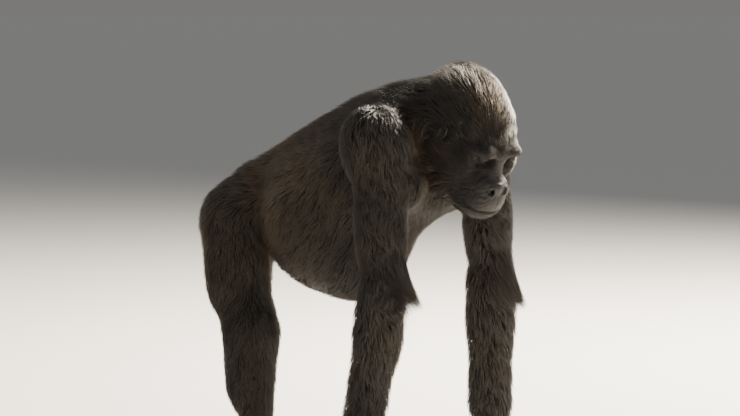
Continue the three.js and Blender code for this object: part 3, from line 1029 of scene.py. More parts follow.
@dataclass(frozen=True)
class CoatFinish:
    """Hair: dark at its root and paler towards its tip, each lock a little different."""

    roughness: float = 0.52
    specular: float = 0.42
    paler_along: float = 0.62
    paler_by_lock: float = 0.42
    darker: float = 0.08
    mottle: float = 0.5

    def material(self, colours: CoatColours) -> bpy.types.Material:
        """The finish of every coat piece.

        Args:
            colours: The coat's colours.

        Returns:
            The material.
        """
        material, tree, shader = new_material("Coat")
        along, lock, warm = (tree.attribute(name) for name in ("Along", "Lock", "Warm"))
        pale = tree.math(
            "ADD",
            tree.math("MULTIPLY", along, self.paler_along),
            tree.math("MULTIPLY", lock, self.paler_by_lock),
        )
        hair = colours.use(tree, warm, tree.math("SUBTRACT", pale, self.darker), self.mottle)
        tree.fill(shader, Base_Color=hair, Roughness=self.roughness, Specular_IOR_Level=self.specular)
        return material


@dataclass(frozen=True)
class SkinFinish:
    """Bare black hide with pores and fine wrinkles, and the coat's own colours under the hair, with painted
    shade in its folds and along the cracks of its bump.
    """

    bare: tuple = colour(0.0090, 0.0080, 0.0074)
    worn: tuple = colour(0.020, 0.0170, 0.0150)
    # painted shade: the colour that the eye slits, nostrils, mouth, lid creases and furrows are darkened
    # towards
    creased: tuple = colour(0.008, 0.007, 0.007)
    roughness: tuple[float, float] = (0.50, 0.72)
    specular: float = 0.3
    tones: tuple[float, float, float] = (34.0, 0.36, 2.2)
    under: tuple[float, float] = (0.12, 0.3)
    pore_scale: float = 620.0
    wrinkle_scale: float = 95.0
    crack_scale: float = 152.0
    crack_edge: float = 9.0
    crack_depth: float = 0.5
    pore_depth: float = 0.35
    bump: tuple[float, float] = (0.42, 0.0011)

    def material(self, name: str, colours: CoatColours, furred: bool = True) -> bpy.types.Material:
        """The finish of the skin.

        Args:
            name: The material's name.
            colours: The coat's colours.
            furred: Whether the mesh has the values Furred, Warm and the painted fold shade.

        Returns:
            The material.
        """
        material, tree, shader = new_material(name)
        place = tree.node("ShaderNodeTexCoord").outputs["Object"]
        size, middle, contrast = self.tones
        cloudy = tree.node("ShaderNodeTexNoise", Vector=place, Scale=size, Detail=5.0, Roughness=0.6)
        fine = tree.node("ShaderNodeTexNoise", Vector=place, Scale=self.wrinkle_scale, Detail=6.0)
        pores = tree.node("ShaderNodeTexVoronoi", Vector=place, Scale=self.pore_scale)
        to_edge = {"feature": "DISTANCE_TO_EDGE"}
        cracks = tree.node("ShaderNodeTexVoronoi", to_edge, Vector=place, Scale=self.crack_scale)
        crack = tree.math("MULTIPLY", cracks.outputs["Distance"], self.crack_edge)
        crack = tree.math("MINIMUM", crack, 1.0)
        tone = tree.math("SUBTRACT", cloudy.outputs["Fac"], middle)
        tone = tree.math("MULTIPLY", tone, contrast, clamp=True)
        # the cloudy tone is the hide's own; multiplying it by the crack mask paints shade along the cracks
        # that the bump sinks
        skin = tree.mix(tree.math("MULTIPLY", tone, crack), self.bare, self.worn)
        if furred:
            under = colours.use(tree, tree.attribute("Warm"), *self.under)
            skin = tree.mix(tree.attribute("Furred"), skin, under)
            # painted shade in the folds: the skin darkens towards the fold shade colour by the fold value
            skin = tree.mix(tree.attribute("Fold"), skin, self.creased)
        smooth, dull = self.roughness
        rough = tree.node("ShaderNodeMapRange", Value=fine.outputs["Fac"], To_Min=smooth, To_Max=dull)
        height = tree.math("ADD", tree.math("MULTIPLY", crack, self.crack_depth), fine.outputs["Fac"])
        pore = tree.math("MULTIPLY", pores.outputs["Distance"], self.pore_depth)
        strength, distance = self.bump
        height = tree.math("ADD", height, pore)
        bump = tree.node("ShaderNodeBump", Height=height, Strength=strength, Distance=distance)
        tree.fill(shader, Base_Color=skin, Roughness=rough.outputs["Result"])
        tree.fill(shader, Specular_IOR_Level=self.specular, Normal=bump.outputs["Normal"])
        return material


@dataclass(frozen=True)
class EyeFinish:
    """A wet eye, by the angle from where it looks: pupil, ringed iris, dark rim and brown white."""

    pupil: float = 0.16
    iris: float = 0.46
    rim: float = 0.52
    roughness: float = 0.13
    specular: float = 0.2
    wet: float = 0.1
    wet_roughness: float = 0.06

    def material(self) -> bpy.types.Material:
        """The finish of an eyeball.

        Returns:
            The material.
        """
        material, tree, shader = new_material("Eye")
        ramp = tree.node("ShaderNodeValToRGB", Fac=tree.attribute("Gaze"))
        stops = (
            (0.0, colour(0.002, 0.002, 0.002)),
            (self.pupil, colour(0.002, 0.002, 0.002)),
            (self.pupil + 0.03, colour(0.045, 0.020, 0.008)),
            (self.iris, colour(0.024, 0.011, 0.005)),
            (self.rim, colour(0.012, 0.007, 0.004)),
            (self.rim + 0.12, colour(0.028, 0.018, 0.012)),
            (1.0, colour(0.050, 0.034, 0.026)),
        )
        elements = ramp.color_ramp.elements
        for index, (place, value) in enumerate(stops):
            element = elements[index] if index < 2 else elements.new(place)
            element.position, element.color = place, value
        tree.fill(shader, Base_Color=ramp.outputs["Color"], Roughness=self.roughness)
        tree.fill(shader, Specular_IOR_Level=self.specular)
        tree.fill(shader, Coat_Weight=self.wet, Coat_Roughness=self.wet_roughness)
        return material


@dataclass(frozen=True)
class NailFinish:
    """Dark horn, ridged along its length and paler at its edge."""

    dark: tuple = colour(0.035, 0.027, 0.022)
    pale: tuple = colour(0.13, 0.10, 0.078)
    roughness: float = 0.36
    ridge_scale: float = 420.0
    bump: tuple[float, float] = (0.2, 0.0006)

    def material(self) -> bpy.types.Material:
        """The finish of the nails.

        Returns:
            The material.
        """
        material, tree, shader = new_material("Nail")
        place = tree.node("ShaderNodeTexCoord").outputs["Object"]
        ridges = tree.node("ShaderNodeTexNoise", Vector=place, Scale=self.ridge_scale, Detail=3.0)
        height = ridges.outputs["Fac"]
        shade = tree.mix(tree.math("MULTIPLY", tree.attribute("Along"), height), self.dark, self.pale)
        strength, distance = self.bump
        bump = tree.node("ShaderNodeBump", Height=height, Strength=strength, Distance=distance)
        tree.fill(shader, Base_Color=shade, Roughness=self.roughness, Normal=bump.outputs["Normal"])
        return material


# ------------------------------------------------------------------------------ markings
class Markings:
    """Where the animal is bare and where its coat is browner: the same for the skin and the coat."""

    deepest = 34.0  # mm of coat
    crown = ((-60, 0, 80), (1.2, 1.0, 0.8), 62)  # a middle on the level head, its spread, its size
    cheeks = ((-58, 0, -52), (1.1, 1.8, 1.3), 52)

    def __init__(self, anatomy: Anatomy) -> None:
        """Keeps the animal."""
        self.anatomy = anatomy

    def depth(self, points: np.ndarray) -> np.ndarray:
        """How deep the coat is at places on the skin, in mm."""
        return np.clip(-self.anatomy.outline.distance(points, 1.0), 0, self.deepest)

    def warm(self, points: np.ndarray) -> np.ndarray:
        """How brown the coat is: the crown and brow, the cheeks, the flanks and the rump.

        Args:
            points: Places, N by 3.

        Returns:
            A value for each place, 0 to 1.
        """
        level = self.anatomy.head.level(points)
        crown, cheek = (
            bell(np.linalg.norm((level - middle) / spread, axis=1), size)
            for middle, spread, size in (self.crown, self.cheeks)
        )
        flank = bell((points[:, 0] - 150) / 2.2, 70) * ease(380, 520, points[:, 2])
        return np.clip(0.6 * crown + cheek + 0.4 * flank + 0.16 * waves(points, 160, 5), 0, 1)


# ------------------------------------------------------------------------------ skin
@dataclass
class Skin:
    """The one skin: a surface over the whole flesh, finest on the face, with its folds pressed in."""

    anatomy: Anatomy
    markings: Markings
    cell: float = 9.0
    longest: float = 16.0
    rounds: int = 4
    low: np.ndarray = field(default_factory=lambda: vec(-180, -285, -9))
    high: np.ndarray = field(default_factory=lambda: vec(800, 285, 960))
    growth: float = 0.22  # how much longer an edge may be for each mm away from the fine places
    eyelid: tuple[float, float] = (10.4, 2.7)
    eyelid_drop: float = -2.2
    eyelid_depth: float = 9.5
    nostril: tuple[float, float, float] = (54, 15.5, -47)
    nostril_size: tuple[float, float] = (5.2, 7.4)
    nostril_depth: float = 10.0
    nostril_rim: float = 1.7
    mouth_level: float = 88.5
    mouth_depth: float = 3.4
    lip_rise: float = 1.1

    def wanted(self, points: np.ndarray) -> np.ndarray:
        """The longest edge allowed at each point: short by the eyes, nose and lips, on the face, and
        on hands and feet, growing with the distance from them.

        Args:
            points: The skin's points.

        Returns:
            The longest edge at each point, in mm.
        """
        level = self.anatomy.head.level(points)
        from_eye = np.column_stack((level[:, 0] - 12, np.abs(level[:, 1]) - EYE_OUT, level[:, 2]))
        fine = [
            (np.linalg.norm(from_eye, axis=1), 15, 1.5),
            (np.linalg.norm(level - (54, 0, -46), axis=1), 27, 2.2),
            (np.linalg.norm((level - (34, 0, -88)) / (1, 1, 0.5), axis=1), 48, 2.6),
            (np.linalg.norm(level - (10, 0, -40), axis=1), 72, 4.2),
        ]
        edge = np.full(len(points), self.longest)
        for away, radius, size in fine:
            edge = np.minimum(edge, size + self.growth * np.maximum(away - radius, 0))
        for bones in self.anatomy.bones.values():
            palm = np.linalg.norm((points - bones.knuckle * (1, 1, 0.6)) / (1, 1.2, 1), axis=1)
            foot = np.linalg.norm((points - bones.foot(60, 0, 10)) / (1.4, 1, 1), axis=1)
            for away, radius in ((palm, 52), (foot, 66)):
                edge = np.minimum(edge, 4.6 + self.growth * np.maximum(away - radius, 0))
        return edge

    def _eyelids(self, level: np.ndarray, normals: np.ndarray, move: np.ndarray, deep: np.ndarray) -> None:
        """Presses in the slit between the lids, an almond that goes straight back past the eyeball's
        front, and the creases round the eye: one over the upper lid, two bags under the lower one.

        Args:
            level: The points on the level head.
            normals: Their normals.
            move: How far each point goes, which is changed.
            deep: How much painted shade each point gets in the folds, which is changed.
        """
        x, y, z = level.T
        beside = np.abs(y)
        half_width, half_height = self.eyelid
        across = (beside - EYE_OUT) / half_width
        above = z - self.eyelid_drop - 0.9 * across
        opening = half_height * (1 - across**2) - np.abs(above)
        slit = ease(0.0, 0.9, opening) * (x > 5) * (np.abs(across) < 1)
        move -= slit[:, None] * self.eyelid_depth * self.anatomy.head.axes[:, 0]
        # painted shade in the slit between the lids
        deep += 0.8 * slit
        away = np.hypot((beside - EYE_OUT) / 1.12, z - self.eyelid_drop)
        near_eye = self._face(level) * (x > -6)
        for radius, width, depth, lower in (
            (9.2, 1.5, 1.0, False),
            (10.0, 1.6, 1.0, True),
            (14.5, 2.2, 1.3, True),
        ):
            half = ease(-2, 3, -above if lower else above)
            crease = bell(away - radius, width) * half * near_eye
            move -= (crease * depth)[:, None] * normals
            # painted shade in the creases round the eye
            deep += 0.35 * crease

    def _nostrils(self, level: np.ndarray, move: np.ndarray, deep: np.ndarray) -> None:
        """Presses in the nostrils, oval pits that look forward and outward, inside a raised rim.

        Args:
            level: The points on the level head.
            move: How far each point goes, which is changed.
            deep: How much painted shade each point gets in the folds, which is changed.
        """
        into = unit(vec(0.86, 0.42, 0.18))
        for sign in (1, -1):
            axis = into * (1, sign, 1)
            tall = unit(np.cross(axis, np.cross(vec(0.2, sign * 0.5, 1), axis)))
            wide = np.cross(axis, tall)
            q = level - vec(*self.nostril) * (1, sign, 1)
            u, v, w = q @ wide / self.nostril_size[0], q @ tall / self.nostril_size[1], q @ axis
            out = np.sqrt(u**2 + v**2)
            near = ease(-16, -9, w)
            pit = np.clip(1 - out**2, 0, 1) ** 0.55 * near
            rim = bell(out - 1.42, 0.30) * near
            shift = rim * self.nostril_rim - pit * self.nostril_depth
            move += shift[:, None] * (self.anatomy.head.axes @ axis)
            # painted shade in the nostril pits
            np.maximum(deep, pit, out=deep)

    def _mouth(self, level: np.ndarray, normals: np.ndarray, move: np.ndarray, deep: np.ndarray) -> None:
        """Presses in the mouth, a groove round the front of the muzzle with its corners turned down,
        between lips that rise a little.

        Args:
            level: The points on the level head.
            normals: Their normals.
            move: How far each point goes, which is changed.
            deep: How much painted shade each point gets in the folds, which is changed.
        """
        x, y, z = level.T
        beside = np.abs(y)
        lips = z + self.mouth_level + 0.0028 * beside**2 + 1.2 * bell(beside, 12)
        mouth = bell(lips, 1.9) * ease(-14, 0, x) * ease(56, 44, beside)
        move -= (mouth * self.mouth_depth)[:, None] * normals
        rise = bell(np.abs(lips) - 5.5, 3.0) * ease(-6, 12, x) * ease(50, 40, beside) * self.lip_rise
        move += rise[:, None] * normals
        # painted shade in the mouth's groove
        deep += 0.85 * mouth

    def _furrows(self, level: np.ndarray, normals: np.ndarray, move: np.ndarray, deep: np.ndarray) -> None:
        """Presses in furrows across the bridge of the nose and down the cheeks, fine ones on the lips,
        and the groove from the nose down to the lip.

        Args:
            level: The points on the level head.
            normals: Their normals.
            move: How far each point goes, which is changed.
            deep: How much painted shade each point gets in the folds, which is changed.
        """
        x, y, z = level.T
        beside = np.abs(y)
        face = self._face(level)
        wander = waves(level, 22, 3) * 2.6
        bridge = face * bell(beside, 17) * ease(-34, -24, z) * ease(18, 4, z)
        cheeks = face * ease(16, 26, beside) * ease(-16, -24, z) * ease(-92, -70, z)
        lip = face * ease(-98, -90, z) * ease(-60, -70, z) * ease(10, 24, x)
        furrows = bridge * np.sin(z + wander) * 0.75
        furrows += cheeks * np.sin((0.75 * z + 0.7 * beside - 0.3 * x + wander * 1.4) * 0.72) * 0.75
        furrows += lip * np.sin((y + wander * 0.7) * 1.25) * 0.3
        move += furrows[:, None] * normals
        # painted shade in the furrows' hollows
        deep += 0.25 * np.clip(-furrows, 0, 1)
        middle = bell(y, 2.0) * ease(-84, -76, z) * ease(-52, -60, z) * ease(35, 50, x)
        move -= (middle * 1.2)[:, None] * normals

    @staticmethod
    def _face(level: np.ndarray) -> np.ndarray:
        """1 on the front of the head, 0 behind it and at its sides."""
        return ease(-45, -5, level[:, 0]) * ease(90, 60, np.abs(level[:, 1]))

    def fold(self, surface: Surface) -> np.ndarray:
        """Presses the eye slits, nostrils, mouth and furrows into the face, and says how much painted shade
        each point gets in them.

        Args:
            surface: The smooth skin, which is changed.

        Returns:
            How much painted shade each point gets in the folds, 0 to 1.
        """
        level = self.anatomy.head.level(surface.points)
        normals = surface.normals()
        move, deep = np.zeros_like(surface.points), np.zeros(len(level))
        self._eyelids(level, normals, move, deep)
        self._nostrils(level, move, deep)
        self._mouth(level, normals, move, deep)
        self._furrows(level, normals, move, deep)
        surface.points = surface.points + move
        return np.clip(deep, 0, 1)

    def build(self) -> tuple[Surface, dict[str, np.ndarray]]:
        """The skin and its named values: Furred, Warm and the painted shade of its folds.

        Returns:
            The surface, and each value at each of its points.
        """
        blend = self.anatomy.skin
        surface = surface_of(blend, self.low, self.high, self.cell)
        surface.settle(blend)
        for _ in range(self.rounds):
            surface.refine(self.wanted(surface.points))
            surface.relax(0.5)
            surface.settle(blend)
        surface.relax(0.4)
        surface.settle(blend, 1)
        furred = ease(2.5, 9.0, self.markings.depth(surface.points))
        warm = self.markings.warm(surface.points)
        # the fold value is painted shade for the skin's colour, in the eye slits, nostrils, mouth, lid
        # creases and furrows
        folds = self.fold(surface)
        surface.points[:, 2] = np.maximum(surface.points[:, 2], 0)
        return surface, {"Furred": furred, "Warm": warm, "Fold": folds}


# ------------------------------------------------------------------------------ eyes, ears, nails
@dataclass(frozen=True)
class Eyes:
    """Two eyeballs with a raised cornea, looking ahead and a little down."""

    anatomy: Anatomy
    place: tuple[float, float, float] = (4, EYE_OUT, 0)
    radius: float = 11.5
    cornea: float = 0.9
    rows: int = 40
    columns: int = 48

    def centre(self, side: Side) -> np.ndarray:
        """Where an eye is, in body millimetres."""
        x, y, z = self.place
        return self.anatomy.head.place(x, side.value * y, z)

    def build(self, side: Side) -> tuple[Surface, np.ndarray]:
        """A ball by polar angle from the gaze: radius + cornea·exp(−(angle/0.45)²).

        Args:
            side: Which eye.

        Returns:
            The surface and its value Gaze, the angle from the gaze over a half turn's half.
        """
        gaze = self.anatomy.head.axes @ unit(vec(1, side.value * -0.05, -0.12))
        across = unit(np.cross(vec(0, 0, 1), gaze))
        up = np.cross(gaze, across)
        angle = np.linspace(0, np.pi, self.rows + 2)[1:-1, None]
        round_ = np.linspace(0, 2 * np.pi, self.columns, endpoint=False)[None, :]
        radius = self.radius + self.cornea * bell(angle, 0.45)
        sideways = np.cos(round_)[..., None] * across + np.sin(round_)[..., None] * up
        flat = np.sin(angle)[..., None] * sideways
        ball = radius[..., None] * (np.cos(angle)[..., None] * gaze + flat)
        poles = np.stack((gaze * (self.radius + self.cornea), -gaze * self.radius))
        points = np.concatenate([ball.reshape(-1, 3), poles]) + self.centre(side)
        angles = np.concatenate([np.broadcast_to(angle, ball.shape[:2]).ravel(), [0, np.pi]])
        return Surface(points, sheet_faces(self.rows, self.columns)), np.clip(angles / (np.pi / 2), 0, 1)


@dataclass(frozen=True)
class Ears:
    """Small rounded ears: a bowl with a rolled rim, an inner ridge and a notch, on a stem in the head.

    Rim, ridge and notch are each a height, the share of the way out where it lies, and its width.
    """

    height: float = 21.0
    width: float = 12.5
    bowl: float = 4.5
    sunk: float = 8.0
    thickness: float = 2.6
    stem: float = 22.0
    pitch: float = -12.0
    spread: float = 10.0
    narrowing: float = 0.22
    rim: tuple[float, float, float] = (2.6, 0.90, 0.09)
    ridge: tuple[float, float, float] = (2.2, 0.60, 0.10)
    notch: tuple[float, float, float] = (2.5, 0.5, 0.2)
    rows: int = 22
    columns: int = 40

    @staticmethod
    def _ring(r: np.ndarray, shape: tuple[float, float, float]) -> np.ndarray:
        """A rise round the ear: its height·bell(r − where, width)."""
        rise, where, width = shape
        return rise * bell(r - where, width)

    def build(self, anatomy: Anatomy, side: Side, placement: Placement) -> Surface:
        """The ear's front from the bowl's middle out to its rim, and its back from the rim in to the
        stem, as heights over a rounded outline that narrows to the lobe.

        Args:
            anatomy: The animal.
            side: Which ear.
            placement: Where the frame is.

        Returns:
            The closed surface.
        """
        low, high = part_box(f"ear_{side.word}")
        centre = (np.array((low + high) / 2) - placement.shift) / MM
        head = anatomy.head.axes
        lean = turned(self.pitch, side.value * self.spread)
        forward, up = head @ lean[:, 0], head @ lean[:, 2]
        out = head @ lean[:, 1] * side.value
        turn = np.linspace(0, 2 * np.pi, self.columns, endpoint=False)[None, :]
        r = np.linspace(0, 1, self.rows + 1)[1:, None]
        narrow = 1 - self.narrowing * ease(0.1, 1.0, -np.sin(turn))
        fore = self.width * np.cos(turn) * narrow
        tall = self.height * np.sin(turn)
        ridge = self._ring(r, self.ridge) * ease(-0.7, 0.3, np.sin(turn) - 0.6 * np.cos(turn))
        notch = self._ring(r, self.notch) * bell(turn - 0.2, 0.5)
        bowl = -self.bowl * (1 - r**1.6)
        front = bowl + self._ring(r, self.rim) + ridge + notch
        back = bowl - self.thickness * ease(1.0, 0.8, r) - self.stem * (1 - r) ** 2

        def rings(radius: np.ndarray, rise: np.ndarray) -> np.ndarray:
            """The points at a share of the outline and a height out of the head."""
            flat = (radius * fore)[..., None] * forward + (radius * tall)[..., None] * up
            return flat + rise[..., None] * out

        grid = np.concatenate([rings(r, front)[:-1], rings(r, back)[::-1]])
        poles = np.stack((out * -self.bowl, out * (-self.bowl - self.thickness - self.stem)))
        points = np.concatenate([grid.reshape(-1, 3), poles]) + centre - out * self.sunk
        faces = sheet_faces(len(grid), self.columns)
        surface = Surface(points, faces)
        if np.sum(surface.face_normals()[:5] @ out) < 0:
            surface.faces = faces[:, ::-1]
        return surface


@dataclass(frozen=True)
class Nails:
    """Curved plates on the ends of fingers and toes."""

    thickness: float = 1.1
    above: float = 0.3
    below: float = 0.7
    rows: int = 9
    columns: int = 9

    def plate(
        self, middle: np.ndarray, along: np.ndarray, up: np.ndarray, radius: float, length: float
    ) -> tuple[Surface, np.ndarray]:
        """A lens-shaped plate bent round a digit: the angle round it runs from −1 to 1 rad.

        Args:
            middle: The digit's centre under the plate.
            along: Towards the tip.
            up: Out through the plate.
            radius: The digit's radius there.
            length: The plate's length.

        Returns:
            The plate and its value Along, from root to edge.
        """
        along = unit(along)
        up = unit(up - along * (up @ along))
        side = np.cross(up, along)
        s, t = np.meshgrid(np.linspace(-1, 1, self.columns), np.linspace(0, 1, self.rows))
        angle = s * (np.sqrt(np.clip(1 - (0.55 * (1 - t)) ** 4, 0, 1)) * (1 - 0.12 * t**6))
        edge = np.clip(1 - s**8, 0, 1) * np.clip(1 - (2 * t - 1) ** 8, 0, 1)
        run = (t - 0.5) * length + 0.6 * np.cos(s * 1.5) * t

        def shell(lift: np.ndarray) -> np.ndarray:
            """The points at a lift over the digit, which dips a little towards the tip.

            Args:
                lift: The lift at each point.

            Returns:
                The points, rows by columns by 3.
            """
            out = radius * (1.0 - 0.10 * t**2) + lift
            bent = (out * np.cos(angle))[..., None] * up
            return middle + run[..., None] * along + bent + (out * np.sin(angle))[..., None] * side

        top = shell(self.above + self.thickness * edge)
        bottom = shell(np.full_like(edge, -self.below))
        points = np.concatenate([top.reshape(-1, 3), bottom.reshape(-1, 3)])
        i, j = np.meshgrid(np.arange(self.rows - 1), np.arange(self.columns - 1), indexing="ij")
        a = (i * self.columns + j).ravel()
        b, c, d = a + 1, a + self.columns + 1, a + self.columns
        upper = np.concatenate([np.stack((a, b, c), 1), np.stack((a, c, d), 1)])
        count = self.rows * self.columns
        grid = np.arange(count).reshape(self.rows, self.columns)
        rim = np.concatenate([grid[0], grid[1:, -1], grid[-1, -2::-1], grid[-2:0:-1, 0]])
        after = np.roll(rim, -1)
        halves = ((after, rim, rim + count), (after, rim + count, after + count))
        wall = np.concatenate([np.stack(half, 1) for half in halves])
        faces = np.concatenate([upper, upper[:, ::-1] + count, wall])
        surface = Surface(points, faces)
        if np.sum(surface.face_normals()[: len(upper)] @ up) < 0:
            surface.faces = faces[:, ::-1]
        return surface, np.concatenate([t.ravel(), t.ravel()])

    def build(self, anatomy: Anatomy, bones: Skeleton, fingers: bool) -> tuple[Surface, np.ndarray]:
        """All the nails of one hand or foot, joined.

        Args:
            anatomy: The animal.
            bones: The side's joints.
            fingers: Whether it is the hand.

        Returns:
            The plates and their value Along.
        """
        digits, made = anatomy.digits, []
        for index in range(4):
            path = digits.finger(bones, index) if fingers else digits.toe(bones, index)
            radius = digits.finger_radii[-1] if fingers else digits.toe_radii[-1]
            along = path[-1] - path[-2]
            up = vec(-1, 0, -0.6) if fingers else vec(0.25, 0, 1)
            middle = path[-1] - unit(along) * (2.0 if fingers else 1.0)
            made.append(self.plate(middle, along, up, radius, 13.0 if fingers else 11.0))
        path, radii = (digits.thumb if fingers else digits.big_toe)(bones)
        up = vec(0.5, -bones.side.value, 0) if fingers else vec(0.1, -bones.side.value * 0.3, 1)
        made.append(self.plate(path[-1], path[-1] - path[-2], up, radii[-1], 14.0))
        return join([surface for surface, _ in made]), np.concatenate([along for _, along in made])


def join(surfaces: list[Surface]) -> Surface:
    """Several surfaces as one.

    Args:
        surfaces: The surfaces.

    Returns:
        The joined surface.
    """
    starts = np.cumsum([0] + [len(s.points) for s in surfaces[:-1]])
    points = np.concatenate([s.points for s in surfaces])
    return Surface(points, np.concatenate([s.faces + start for s, start in zip(surfaces, starts)]))


# ------------------------------------------------------------------------------ coat
@dataclass(frozen=True)
class Lay:
    """The way the hair lies: back and down the trunk, down the limbs, and away from the face."""

    anatomy: Anatomy
    partings: tuple[tuple[float, float, int], ...] = ((0.42, 34.0, 11), (0.22, 110.0, 12))

    def _part_way(self, part: str, points: np.ndarray, normals: np.ndarray) -> np.ndarray:
        """The way that one part's hair lies, before it is laid along the surface.

        Args:
            part: The part.
            points: Places, N by 3.
            normals: The skin's normals there.

        Returns:
            A direction for each place.
        """
        kind, _, word = part.rpartition("_")
        if part in ("trunk", "neck"):
            level = np.abs(normals[:, 2:])
            inward = -np.sign(points[:, 1:2]) * np.clip(-normals[:, 2:], 0, 1) * 0.35
            back = np.concatenate([-0.35 - 0.65 * level, inward, -(1 - level)], axis=1)
            return unit(back)
        if part == "head":
            level = self.anatomy.head.level(points)
            away = unit(level - (34, 0, -34)) * (1.0, 1.1, 1.0) + (-0.25, 0, 0.12)
            return unit(away @ self.anatomy.head.axes.T)
        bones = self.anatomy.bones[Side[word.upper()]]
        outward = vec(0, bones.side.value, 0)
        ways = {
            "upper_arm": unit(bones.elbow - bones.shoulder) + vec(0.10, 0, 0) + 0.12 * outward,
            "forearm": unit(bones.wrist - bones.elbow) + vec(0.16, 0, 0) + 0.15 * outward,
            "hand": vec(0.25, 0, -1) + 0.1 * outward,
            "thigh": unit(bones.knee - bones.hip) + vec(-0.30, 0, 0),
            "shin": unit(bones.ankle - bones.knee) + vec(-0.22, 0, 0),
            "foot": bones.foot(1, 0, 0) - bones.foot(0, 0, 0) + vec(0, 0, -0.2),
        }
        return np.broadcast_to(unit(ways[kind]), points.shape)

    def at(self, points: np.ndarray, normals: np.ndarray, shares: dict[str, np.ndarray]) -> np.ndarray:
        """The way the hair lies at places on the skin: the parts' ways by their shares, laid along
        the surface, and drawn together and apart by a smooth pattern so that locks form.

        Args:
            points: The places.
            normals: The skin's normals there.
            shares: Each part's say.

        Returns:
            Directions along the skin.
        """
        way = sum(share[:, None] * self._part_way(part, points, normals) for part, share in shares.items())
        way = unit(way - normals * np.sum(way * normals, axis=1, keepdims=True))
        lean = sum(amount * waves(points, size, seed) for amount, size, seed in self.partings)
        return unit(way + np.cross(normals, way) * lean[:, None])


